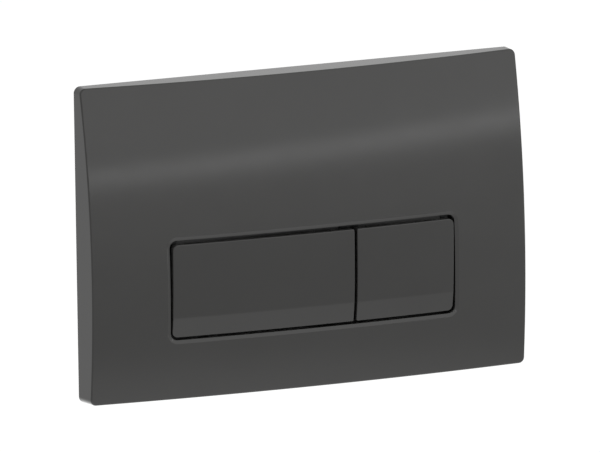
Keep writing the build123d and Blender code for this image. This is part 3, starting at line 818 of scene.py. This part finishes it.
def set_out_tree() -> bpy.types.NodeTree:
    """Tree that sets one piece out on the points of a mesh, each turned about Z by its own turn.

    Returns:
        The tree. The turns are a point attribute, in radians.
    """
    plan = NodePlan("set_out", Piece="Object")
    held = plan.add("GeometryNodeObjectInfo", {"Object": plan.given["Piece"], "As Instance": True})
    turn = plan.add("GeometryNodeInputNamedAttribute", {"Name": "turn"}, data_type="FLOAT")
    euler = plan.point(0.0, 0.0, turn.outputs["Attribute"])
    rotation = plan.add("FunctionNodeEulerToRotation", {"Euler": euler}).outputs["Rotation"]
    feeds = {"Points": plan.given["Geometry"], "Instance": held.outputs["Geometry"], "Rotation": rotation}
    return plan.close(plan.add("GeometryNodeInstanceOnPoints", feeds).outputs["Instances"])


class Trees:
    """Geometry Nodes trees of the rim and the small hardware, and what is grown from them."""

    def __init__(self) -> None:
        """Build the trees."""
        self.spring = wire_spring_tree()
        self.bar = ridged_bar_tree()
        self.rim = swept_rim_tree(DOME)
        self.set_out = set_out_tree()

    @staticmethod
    def grown(name: str, tree: bpy.types.NodeTree, base: bmesh.types.BMesh | None = None,
              **values: Any) -> bpy.types.Object:
        """Object that a tree makes, as a plain mesh.

        Args:
            name: Name of the object.
            tree: Geometry Nodes tree.
            base: Mesh that goes into the tree, if it needs one.
            values: Values of the tree's inputs, by name.

        Returns:
            The object, without its modifier.
        """
        made = placed(name, base or bmesh.new())
        grower = made.modifiers.new("grower", "NODES")
        grower.node_group = tree
        for item in tree.interface.items_tree:
            if item.in_out == "INPUT" and item.name in values:
                grower[item.identifier] = values[item.name]
        settle(made)
        return made

    def laid_out(self, name: str, piece: bpy.types.Object, material: bpy.types.Material,
                 places: Sequence[Triple], turns: Sequence[float] | None = None) -> bpy.types.Object:
        """Copies of a piece on given places, as one mesh.

        Args:
            name: Name of the object.
            piece: Piece at the origin, removed afterwards.
            material: Its material.
            places: Where the copies go.
            turns: How far each is turned about Z, in radians, if they are.

        Returns:
            The object.
        """
        points = bmesh.new()
        turn = points.verts.layers.float.new("turn")
        for place, angle in zip(places, turns or [0.0] * len(places)):
            points.verts.new(place)[turn] = angle
        made = self.grown(name, self.set_out, points, Piece=piece, Material=material)
        discard(piece)
        return made


@dataclass
class SubAssembly:
    """Pieces that are built and dressed together."""

    frame: dict[str, Any]
    store: Store
    trees: Trees

    def dress(self, slot: Slot, *nodes: str) -> None:
        """Give CAD nodes the finish of a slot."""
        self.store.dress(self.frame, slot, *nodes)

    def build(self) -> None:
        """Build the pieces."""
        raise NotImplementedError


@dataclass
class Fascia(SubAssembly):
    """Domed front plate and the two rocker buttons, which keep their CAD shapes."""

    def build(self) -> None:
        """Give plate and buttons their satin moulded finish."""
        self.dress(Slot.PLATE, "front_plate")
        self.dress(Slot.BUTTON, "full_flush_button", "half_flush_button")


@dataclass
class OpeningRim(SubAssembly):
    """Shallow rim that leads the dome into its opening, seated on the opening's bevel."""

    half_x: float = 80.5 * MM
    top_z: float = 1.6 * MM
    bottom_z: float = -50.5 * MM
    corner: float = 4.0 * MM
    outer: float = 1.64 * MM  # outwards from the opening's edge
    inner: float = -0.25 * MM
    back: float = -0.02 * MM
    outer_depth: float = 0.015 * MM  # below the dome
    bevel_depth: float = 0.93 * MM
    foot_depth: float = 1.3 * MM
    slope: float = 18.0  # degrees that it falls towards the opening
    edge: float = 0.15 * MM
    edge_steps: int = 4
    corner_steps: int = 24
    step: float = 0.45 * MM

    def outline(self) -> bpy.types.Object:
        """Closed outline of the rim.

        Returns:
            Object with a loop of edges: X outwards from the opening's edge, and Y down from the dome.
        """
        lip = self.outer_depth + math.tan(math.radians(self.slope)) * (self.outer - self.inner)
        edge = rounded_end(self.edge, self.edge, self.edge_steps)
        points = [(self.outer, self.outer_depth)]
        points += [(self.inner + inward, lip + self.edge - along) for inward, along in reversed(edge)]
        points += [(self.inner, self.foot_depth), (self.back, self.foot_depth), (self.back, self.bevel_depth)]
        work = bmesh.new()
        corners = [work.verts.new((out, down, 0.0)) for out, down in points]
        for near, far in zip(corners, corners[1:] + corners[:1]):
            work.edges.new((near, far))
        return placed("rim_outline", work)

    def build(self) -> None:
        """Sweep the outline round the opening."""
        outline = self.outline()
        rim = self.trees.grown(
            "opening_rim", self.trees.rim, Material=self.store.material(Slot.PLATE), Outline=outline,
            Middle=(self.top_z + self.bottom_z) / 2, Width=2.0 * self.half_x,
            Height=self.top_z - self.bottom_z, Corner=self.corner, CornerSteps=self.corner_steps,
            Step=self.step,
        )
        discard(outline)
        self.store.deliver(rim, Body.PLATE, Slot.PLATE)


@dataclass
class StopBuffers(SubAssembly):
    """Ribbed rubber pads on the buttons' stop lips."""

    width: float = 10.0 * MM
    height: float = 4.8 * MM
    thickness: float = 1.0 * MM
    ridge: float = 0.4 * MM
    ridge_count: int = 4
    fade: float = 1.05 * MM  # in from either side over which the ridges run out
    edge: float = 0.35 * MM
    back_y: float = -16.278 * MM
    middle_z: float = 2.6 * MM
    full_x: Span = (-65.15 * MM, 7.7 * MM)
    half_x: Span = (37.2 * MM, 65.15 * MM)
    columns: int = 24
    rows: int = 48

    def front(self, u: float, v: float) -> float:
        """Thickness of the pad at a place on it.

        Args:
            u: Place across, from -1 to 1.
            v: Place up, from -1 to 1.

        Returns:
            The thickness.
        """
        inset_x = (1.0 - abs(u)) * self.width / 2
        inset_z = (1.0 - abs(v)) * self.height / 2
        rounding = 0.0
        for inset in (inset_x, inset_z):
            gap = max(self.edge - inset, 0.0)
            rounding += self.edge - math.sqrt(max(self.edge**2 - gap**2, 0.0))
        wave = abs(math.sin(0.25 * FULL_TURN * self.ridge_count * (v + 1.0)))
        crest = math.sqrt(wave * min(1.0, inset_x / self.fade))
        return max(self.thickness - self.ridge * (1.0 - crest) - rounding, self.edge / 2)

    def pad(self) -> bpy.types.Object:
        """One pad at the origin.

        Returns:
            The pad, its back on Y = 0 and its ridges towards -Y.
        """
        work = bmesh.new()
        grid = []
        for j in range(self.rows + 1):
            v = 2.0 * j / self.rows - 1.0
            across = [2.0 * i / self.columns - 1.0 for i in range(self.columns + 1)]
            spots = [(u * self.width / 2, -self.front(u, v), v * self.height / 2) for u in across]
            grid.append([work.verts.new(spot) for spot in spots])
        skin(work, grid, closed=False)
        rim = [e for e in work.edges if e.is_boundary]
        skirt = bmesh.ops.extrude_edge_only(work, edges=rim)["geom"]
        for vert in (g for g in skirt if isinstance(g, bmesh.types.BMVert)):
            vert.co.y = 0.0
        bmesh.ops.holes_fill(work, edges=[e for e in work.edges if e.is_boundary])
        return placed("pad", work)

    def build(self) -> None:
        """Make the pads of both buttons."""
        material = self.store.material(Slot.BUFFER)
        rows = (("full", Body.FULL_BUTTON, self.full_x), ("half", Body.HALF_BUTTON, self.half_x))
        for side, body, spots in rows:
            places = [(x, self.back_y, self.middle_z) for x in spots]
            pads = self.trees.laid_out(f"{side}_ribbed_buffers", self.pad(), material, places)
            self.store.deliver(pads, body, Slot.BUFFER, f"{side}_stop_buffers")


@dataclass
class ShadeFlaps(SubAssembly):
    """Thin dark rubber sheets past the ends of the stop lips, put in as painted shade: they keep light out of
    the corners of the gap, which the wall behind the plate would shade.
    """

    front_y: float = -17.25 * MM
    bead: float = 0.65 * MM
    web: float = 0.4 * MM
    foot_z: float = -2.6 * MM
    top_z: float = 5.0 * MM
    end: float = 0.1 * MM
    bead_steps: int = 12
    full_x: tuple[Span, Span] = ((-78.55 * MM, -74.65 * MM), (17.2 * MM, 22.43 * MM))
    half_x: tuple[Span, Span] = ((22.47 * MM, 27.7 * MM), (74.65 * MM, 78.55 * MM))

    def section(self) -> list[Span]:
        """Section of a flap: a flat web with a round bead along its top edge.

        Returns:
            Y and Z of each of its points.
        """
        radius = self.bead / 2
        y, z = self.front_y + radius, self.top_z - radius
        start = math.asin(self.web / self.bead)
        sweep = FULL_TURN - 2.0 * start
        turns = [start + sweep * i / self.bead_steps for i in range(self.bead_steps + 1)]
        bead = [(y - radius * math.sin(a), z - radius * math.cos(a)) for a in turns]
        return bead + [(y + self.web / 2, self.foot_z), (y - self.web / 2, self.foot_z)]

    def flap(self, span: Span) -> bpy.types.Object:
        """One flap, its ends a little narrowed.

        Args:
            span: X of its two ends.

        Returns:
            The flap.
        """
        middle_y, middle_z = self.front_y + self.bead / 2, (self.foot_z + self.top_z) / 2
        left, right = span
        stations = ((left, self.end), (left + self.end, 0.0), (right - self.end, 0.0), (right, self.end))
        work = bmesh.new()
        rings = []
        for x, inset in stations:
            slim, low = 1.0 - inset / self.web, 1.0 - 2.0 * inset / (self.top_z - self.foot_z)
            ring = []
            for y, z in self.section():
                spot = (x, middle_y + slim * (y - middle_y), middle_z + low * (z - middle_z))
                ring.append(work.verts.new(spot))
            rings.append(ring)
        skin(work, rings)
        work.faces.new(rings[0])
        work.faces.new(rings[-1])
        return placed("flap", work)

    def build(self) -> None:
        """Make the flaps of both buttons."""
        rows = (("full", Body.FULL_BUTTON, self.full_x), ("half", Body.HALF_BUTTON, self.half_x))
        for side, body, spans in rows:
            # painted shade: dark flaps that stand in for the shade in the gap's corners
            flaps = joined(f"{side}_gap_flaps", *(self.flap(span) for span in spans))
            self.store.deliver(flaps, body, Slot.BUFFER)


@dataclass
class RockerHinges(SubAssembly):
    """Hinge rods, which keep their CAD shapes, and their toothed push-on rings."""

    outer: float = 3.2 * MM
    rim: float = 2.3 * MM
    bore: float = 1.52 * MM
    margin: float = 0.2 * MM  # flat sheet kept at the rim's two edges
    sheet: float = 0.28 * MM
    width: float = 0.8 * MM
    bends: tuple[Span, ...] = ((0.0, 0.06), (0.5, 0.45), (1.0, 1.0))  # shares of a tooth's length and bend
    teeth: int = 6
    cells: int = 16  # round one tooth
    slit: int = 2  # cells of these between two teeth
    axis_y: float = -14.07785 * MM
    axis_z: float = -38.8 * MM
    left_x: Span = (-70.45 * MM, 31.9 * MM)
    right_x: Span = (13.0 * MM, 70.45 * MM)

    def ring(self) -> bpy.types.Object:
        """One ring at the origin.

        Returns:
            The ring about the X axis, its teeth bent towards +X.
        """
        bend, flat_x = self.width - self.sheet, -self.width / 2
        flat = [(radius, flat_x) for radius in (self.outer, self.outer - self.margin, self.rim + self.margin)]
        reach = self.bore - self.rim
        tooth = [(self.rim + way * reach, flat_x + share * bend) for way, share in self.bends]
        count = self.teeth * self.cells
        turns = [FULL_TURN * i / count for i in range(count)]
        work = bmesh.new()
        rings = []
        for radius, x in flat + tooth:
            rings.append([work.verts.new((x, radius * math.cos(a), radius * math.sin(a))) for a in turns])
        skin(work, rings)
        toothed = [f for i, f in enumerate(work.faces) if i >= count * len(flat)]
        slits = [f for i, f in enumerate(toothed) if i % self.cells < self.slit]
        bmesh.ops.delete(work, geom=slits, context="FACES")
        bmesh.ops.recalc_face_normals(work, faces=work.faces)
        if sum(f.normal.x for f in work.faces) > 0.0:
            bmesh.ops.reverse_faces(work, faces=work.faces)
        bmesh.ops.solidify(work, geom=work.faces[:], thickness=self.sheet)
        return placed("push_on_ring", work)

    def build(self) -> None:
        """Dress the rods and make the rings."""
        self.dress(Slot.ROD, "full_hinge_rod", "half_hinge_rod")
        spots = [(x, self.axis_y, self.axis_z) for x in self.left_x + self.right_x]
        turns = [math.pi] * len(self.left_x) + [0.0] * len(self.right_x)
        material = self.store.material(Slot.ROD)
        rings = self.trees.laid_out("toothed_rod_rings", self.ring(), material, spots, turns)
        self.store.deliver(rings, Body.PLATE, Slot.ROD, "rod_retaining_rings")


@dataclass
class ReturnSprings(SubAssembly):
    """Round-wire compression springs between the carrier's spigots and the buttons."""

    full_left_x: float = -56.725 * MM
    full_right_x: float = -0.725 * MM
    half_x: float = 60.0 * MM
    middle_z: float = -22.0 * MM
    seat_y: float = -10.07785 * MM
    room: float = 10.0 * MM
    clearance: float = 0.02 * MM
    coil: float = 3.5 * MM
    wire: float = 0.4 * MM
    turns: float = 6.25
    closed: float = 1.0
    steps: int = 200
    sides: int = 12

    def build(self) -> None:
        """Make the three springs, each with one end turn on the carrier and the other on its button."""
        rows = (
            ("full_return_spring_left", self.full_left_x, Body.FULL_BUTTON),
            ("full_return_spring_right", self.full_right_x, Body.FULL_BUTTON),
            ("half_return_spring", self.half_x, Body.HALF_BUTTON),
        )
        for node, x, button in rows:
            spring = self.trees.grown(
                f"{node}_wire", self.trees.spring, Material=self.store.material(Slot.SPRING),
                Foot=(x, self.seat_y - self.clearance, self.middle_z), Length=self.room - 2 * self.clearance,
                Coil=self.coil, Wire=self.wire, Turns=self.turns, Closed=self.closed, Steps=self.steps,
                Sides=self.sides,
            )
            self.store.coat(spring, Slot.SPRING, node)
            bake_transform(spring)


@dataclass
class CarrierUnit(SubAssembly):
    """Button carrier, which keeps its CAD shape, and its six recessed screws."""

    columns_x: tuple[float, ...] = (-87.5 * MM, 0.0, 87.5 * MM)
    rows_z: tuple[float, ...] = (12.5 * MM, -57.0 * MM)
    back_y: float = -7.57785 * MM
    head_r: float = 2.8 * MM
    head_height: float = 2.0 * MM
    head_side: float = 0.9 * MM  # height where its rounding starts
    head_edge: float = 0.15 * MM
    crown: float = 1.0 * MM
    crown_steps: int = 7
    head_sides: int = 40
    recess: float = 3.0 * MM
    recess_width: float = 0.85 * MM
    recess_depth: float = 1.25 * MM
    recess_foot: float = 0.6  # share of its width that is left at its foot
    cutter_over: float = 0.2 * MM
    shank_r: float = 1.15 * MM
    root_r: float = 0.88 * MM
    pitch: float = 1.05 * MM
    length: float = 8.5 * MM
    point: float = 1.8 * MM
    point_tip: float = 0.35
    thread_from: float = 0.2 * MM  # from the point
    neck: float = 0.4 * MM  # below the head
    overlap: float = 0.3 * MM  # of the shank in the head
    shank_taper: float = 0.1 * MM
    shank_sides: int = 18
    shank_rows: int = 72

    def head(self) -> bpy.types.Object:
        """Pan head with a cross recess.

        Returns:
            The head, its underside on Y = 0.
        """
        crown = rounded_end(self.crown, self.head_height - self.head_side, self.crown_steps)
        profile = [(0.0, 0.0), (self.head_r - self.head_edge, 0.0), (self.head_r, self.head_edge)]
        profile += [(self.head_r - inward, self.head_side + up) for inward, up in crown]
        profile.append((0.0, self.head_height))
        foot, top = self.head_height - self.recess_depth, self.head_height + self.cutter_over
        half, thin = self.recess / 2, self.recess_width / 2
        across = wedge("recess_across", (-half, foot, -thin), (half, top, thin), self.recess_foot)
        upright = wedge("recess_upright", (-thin, foot, -half), (thin, top, half), self.recess_foot)
        return carved(turned("screw_head", profile, self.head_sides), across, upright)

    def screw(self) -> bpy.types.Object:
        """One screw at the origin.

        Returns:
            The screw, its head towards +Y and its thread towards -Y.
        """
        neck = self.length - self.neck
        shank = self.trees.grown(
            "screw_shank", self.trees.bar, Material=self.store.material(Slot.SCREW),
            Foot=(0.0, -self.length, 0.0), Length=self.length + self.overlap, Crest=self.shank_r,
            Root=self.root_r, Pitch=self.pitch, Lead=1.0, From=self.thread_from, To=neck, Tail=self.root_r,
            TailFrom=neck, StartTaper=self.point, EndTaper=self.shank_taper, Tip=self.point_tip,
            Sides=self.shank_sides, Rows=self.shank_rows,
        )
        return joined("carrier_screw", self.head(), shank)

    def build(self) -> None:
        """Dress the carrier and set out its screws."""
        self.dress(Slot.CARRIER, "button_carrier")
        places = [(x, self.back_y, z) for z in self.rows_z for x in self.columns_x]
        material = self.store.material(Slot.SCREW)
        screws = self.trees.laid_out("recessed_screws", self.screw(), material, places)
        self.store.deliver(screws, Body.PLATE, Slot.SCREW, "carrier_screws")


@dataclass
class WallFixings(SubAssembly):
    """Mounting frame and nuts, which keep their CAD shapes, and two threaded spacer bolts."""

    spots_x: Span = (-80.0 * MM, 80.0 * MM)
    middle_z: float = 38.0 * MM
    frame_front_y: float = -5.07785 * MM
    end_y: float = 62.0 * MM
    point_from_y: float = 52.0 * MM
    point_r: float = 3.2 * MM
    point_step: float = 0.3 * MM  # that the point's shoulder starts before it
    end_taper: float = 0.8 * MM
    end_tip: float = 0.75
    crest_r: float = 4.0 * MM
    root_r: float = 3.35 * MM
    pitch: float = 2.5 * MM
    thread_from: float = 0.4 * MM  # from the head
    thread_end: float = 0.2 * MM  # before the point
    overlap: float = 0.4 * MM  # of the shaft in the head
    shaft_taper: float = 0.1 * MM
    shaft_sides: int = 36
    shaft_rows: int = 270
    head_r: float = 6.5 * MM
    head_height: float = 3.5 * MM
    head_edge: float = 0.2 * MM
    head_rounding: float = 0.9 * MM
    rounding_steps: int = 6
    head_sides: int = 56
    slot_width: float = 1.6 * MM
    slot_depth: float = 1.8 * MM
    cutter_past: float = 1.0 * MM  # of the slot's cutter past the head's side
    cutter_over: float = 0.5 * MM  # and over its top

    def head(self, x: float) -> bpy.types.Object:
        """Slotted head of a bolt, in front of the frame.

        Args:
            x: Place of the bolt.

        Returns:
            The head.
        """
        under, top = self.frame_front_y, self.frame_front_y - self.head_height
        rounding = rounded_end(self.head_rounding, self.head_rounding, self.rounding_steps)
        profile = [(0.0, under), (self.head_r - self.head_edge, under), (self.head_r, under - self.head_edge)]
        profile += [(self.head_r - inward, top + self.head_rounding - up) for inward, up in rounding]
        profile.append((0.0, top))
        head = turned("bolt_head", profile, self.head_sides)
        head.data.transform(Matrix.Translation((x, 0.0, self.middle_z)))
        reach, thin = self.head_r + self.cutter_past, self.slot_width / 2
        low = (x - reach, top - self.cutter_over, self.middle_z - thin)
        high = (x + reach, top + self.slot_depth, self.middle_z + thin)
        return carved(head, wedge("slot", low, high))

    def bolt(self, name: str, x: float) -> bpy.types.Object:
        """One bolt: head, thread and plain point.

        Args:
            name: Name of the bolt.
            x: Its place.

        Returns:
            The bolt.
        """
        start = self.frame_front_y - self.overlap
        point = self.point_from_y - start
        shaft = self.trees.grown(
            "bolt_shaft", self.trees.bar, Material=self.store.material(Slot.BOLT),
            Foot=(x, start, self.middle_z), Length=self.end_y - start, Crest=self.crest_r,
            Root=self.root_r, Pitch=self.pitch, Lead=1.0,
            From=self.overlap + self.thread_from, To=point - self.thread_end, Tail=self.point_r,
            TailFrom=point - self.point_step, StartTaper=self.shaft_taper, EndTaper=self.end_taper,
            Tip=self.end_tip, Sides=self.shaft_sides, Rows=self.shaft_rows,
        )
        return joined(name, self.head(x), shaft)

    def build(self) -> None:
        """Dress frame and nuts and make the bolts."""
        self.dress(Slot.FRAME, "mounting_frame")
        self.dress(Slot.BOLT, "spacer_nut_left", "spacer_nut_right")
        for side, x in zip(("left", "right"), self.spots_x):
            bolt = self.bolt(f"threaded_bolt_{side}", x)
            self.store.deliver(bolt, Body.PLATE, Slot.BOLT, f"spacer_bolt_{side}")


@dataclass
class PushRods(SubAssembly):
    """Rods from the buttons to the flush valve, ringed for cutting to length, with plain heads."""

    full_x: float = -36.0 * MM
    half_x: float = 36.0 * MM
    middle_z: float = -10.5 * MM
    front_y: float = -13.27785 * MM
    end_y: float = 62.0 * MM
    radius: float = 3.0 * MM
    ring_root: float = 2.55 * MM
    ring_pitch: float = 2.0 * MM
    rings_from_y: float = 20.0 * MM
    rings_to_y: float = 58.0 * MM
    tail: float = 1.0 * MM
    front_taper: float = 0.2 * MM
    end_taper: float = 0.6 * MM
    end_tip: float = 0.8
    sides: int = 36
    rows: int = 360

    def build(self) -> None:
        """Dress the heads and make the rods."""
        self.dress(Slot.ROD_HEAD, "full_push_rod_head", "half_push_rod_head")
        length = self.end_y - self.front_y
        for side, x, body in (("full", self.full_x, Body.FULL_ROD), ("half", self.half_x, Body.HALF_ROD)):
            rod = self.trees.grown(
                f"{side}_ringed_push_rod", self.trees.bar, Material=self.store.material(Slot.PUSH_ROD),
                Foot=(x, self.front_y, self.middle_z), Length=length, Crest=self.radius, Root=self.ring_root,
                Pitch=self.ring_pitch, Lead=0.0, From=self.rings_from_y - self.front_y,
                To=self.rings_to_y - self.front_y, Tail=self.radius, TailFrom=length - self.tail,
                StartTaper=self.front_taper, EndTaper=self.end_taper, Tip=self.end_tip,
                Sides=self.sides, Rows=self.rows,
            )
            self.store.deliver(rod, body, Slot.PUSH_ROD, f"{side}_push_rod")


def stand(name: str, data: bpy.types.ID, bearing: float, height: float, distance: float, roll: float,
          target: Triple = (0.0, 0.0, 0.0)) -> bpy.types.Object:
    """Lamp or camera that stands off from a target and faces it.

    Args:
        name: Name of the object.
        data: What it holds.
        bearing: Degrees to the right of straight in front.
        height: Degrees above the horizon.
        distance: Way from the target.
        roll: Degrees that its right side is raised.
        target: Point that it faces.

    Returns:
        The object.
    """
    a, e = math.radians(bearing), math.radians(height)
    away = Vector((math.sin(a) * math.cos(e), -math.cos(a) * math.cos(e), math.sin(e)))
    right = Vector((math.cos(a), math.sin(a), 0.0))
    turn = Matrix((right, away.cross(right), away)).transposed().to_4x4()
    place = Matrix.Translation(Vector(target) + distance * away)
    held = bpy.data.objects.new(name, data)
    held.matrix_world = place @ turn @ Matrix.Rotation(math.radians(roll), 4, "Z")
    bpy.context.scene.collection.objects.link(held)
    return held


@dataclass(frozen=True)
class SoftBox:
    """Rectangular lamp that faces the plate from a bearing."""

    name: str
    bearing: float  # degrees to the right of straight in front
    height: float  # degrees above the horizon
    distance: float
    width: float
    tall: float
    brightness: float  # radiance of its face
    roll: float = 0.0  # degrees that its right end is raised

    def hang(self) -> None:
        """Make the lamp and aim it at the plate."""
        lamp = bpy.data.lights.new(self.name, "AREA")
        lamp.shape = "RECTANGLE"
        lamp.size, lamp.size_y = self.width, self.tall
        lamp.energy = self.brightness * math.pi * self.width * self.tall
        held = stand(self.name, lamp, self.bearing, self.height, self.distance, self.roll)
        held.visible_camera = False
        LOG.info("lamp %s at bearing %.0f", self.name, self.bearing)


@dataclass
class Studio:
    """Pale floor, soft lamps, white surroundings and the camera."""

    bearing: float = -24.7288  # degrees that the camera stands to the right of straight in front
    height: float = 10.2735
    roll: float = -0.8665
    distance: float = 10.2508
    target: Triple = (2.767 * MM, 0.0, -1.3479 * MM)
    lens: float = 1200.0
    sensor: float = 36.0
    clip: Span = (0.1, 100.0)
    floor_z: float = -0.25
    floor_half: float = 6.0
    floor_grey: float = 0.75
    painted_floor_glow: Span = (1.85, 0.42)  # painted glow for rays that see the surroundings, near the plate and far: a painted pool of light
    painted_glow_pool: Span = (0.3, 0.64)  # ways out from the plate where the painted glow is at its near and far levels
    ambient: float = 0.76
    boxes: tuple[SoftBox, ...] = (
        SoftBox("front_softbox", 24.0, 17.0, 3.0, 2.6, 1.15, 1.2),
        SoftBox("front_strip", 25.0, 4.15, 3.0, 3.2, 0.07, 6.0, roll=1.4),
        SoftBox("front_card", 25.0, -0.2, 3.0, 3.4, 0.45, 0.45, roll=1.4),
        SoftBox("top_softbox", 36.0, 48.0, 2.6, 2.2, 1.4, 1.0),
        SoftBox("side_card", 62.0, -7.5, 1.2, 0.5, 0.11, 2.6),
    )

    @staticmethod
    def seen(bench: NodeBench) -> Socket:
        """Socket that is 1 for camera, glossy and transmission rays.

        Args:
            bench: Bench of a material or the world.

        Returns:
            The socket.
        """
        path = bench.add("ShaderNodeLightPath").outputs
        through = bench.maths("MAXIMUM", path["Is Glossy Ray"], path["Is Transmission Ray"])
        return bench.maths("MAXIMUM", path["Is Camera Ray"], through)

    def light_world(self) -> None:
        """White surroundings for rays that see them, and even ambient light."""
        world = bpy.data.worlds.new("white_studio")
        world.use_nodes = True
        bench = NodeBench(world.node_tree)
        strength = bench.run(self.seen(bench), 0.0, 1.0, self.ambient, 1.0)
        glow = bench.add("ShaderNodeBackground", {"Color": WHITE, "Strength": strength})
        bench.add("ShaderNodeOutputWorld", {"Surface": glow.outputs["Background"]})
        bpy.context.scene.world = world

    def floor_material(self) -> bpy.types.Material:
        """Pale floor that is white where the camera sees it unshaded, with a painted glow that pools brighter
        near the plate, and open from below.

        Returns:
            Its material.
        """
        material = bpy.data.materials.new("pale_floor")
        material.use_nodes = True
        bench = NodeBench(material.node_tree)
        grey = (self.floor_grey, self.floor_grey, self.floor_grey, 1.0)
        paint = bench.add("ShaderNodeBsdfDiffuse", {"Color": grey}).outputs["BSDF"]
        place = bench.add("ShaderNodeTexCoord").outputs["Object"]
        # painted pool of light: the floor glows brighter near the plate than far out, for rays that see it
        pool = bench.run(bench.vector("LENGTH", place, output="Value"), *self.painted_glow_pool, *self.painted_floor_glow)
        glow = bench.add("ShaderNodeEmission", {"Strength": bench.product(self.seen(bench), pool)})
        both = bench.add("ShaderNodeAddShader", {0: paint, 1: glow.outputs["Emission"]}).outputs["Shader"]
        below = bench.add("ShaderNodeNewGeometry").outputs["Backfacing"]
        clear = bench.add("ShaderNodeBsdfTransparent").outputs["BSDF"]
        side = bench.add("ShaderNodeMixShader", {"Fac": below, 1: both, 2: clear})
        bench.add("ShaderNodeOutputMaterial", {"Surface": side.outputs["Shader"]})
        return material

    def lay_floor(self) -> None:
        """Make the floor below the plate."""
        half, z = self.floor_half, self.floor_z
        work = bmesh.new()
        corners = [(-half, -half, z), (half, -half, z), (half, half, z), (-half, half, z)]
        work.faces.new([work.verts.new(c) for c in corners])
        floor = placed("floor", work)
        floor.data.materials.append(self.floor_material())

    def stand_camera(self) -> None:
        """Put the camera where the photograph was taken from."""
        lens = bpy.data.cameras.new("camera")
        lens.lens, lens.sensor_width, lens.sensor_fit = self.lens, self.sensor, "HORIZONTAL"
        lens.clip_start, lens.clip_end = self.clip
        bpy.context.scene.camera = stand(
            "camera", lens, self.bearing, self.height, self.distance, self.roll, self.target)

    def build(self) -> None:
        """Set up the whole studio."""
        self.light_world()
        self.lay_floor()
        for box in self.boxes:
            box.hang()
        self.stand_camera()
        bpy.context.scene.view_settings.view_transform = "Standard"


SUB_ASSEMBLIES: tuple[type[SubAssembly], ...] = (
    Fascia, OpeningRim, StopBuffers, ShadeFlaps, RockerHinges,
    ReturnSprings, CarrierUnit, WallFixings, PushRods,
)


def main() -> None:
    """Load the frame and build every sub-assembly."""
    logging.basicConfig(level=logging.INFO, format="%(name)s: %(message)s")
    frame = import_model()
    store, trees = Store(), Trees()
    for kind in SUB_ASSEMBLIES:
        kind(frame, store, trees).build()
    Studio().build()


if __name__ == "__main__":
    main()
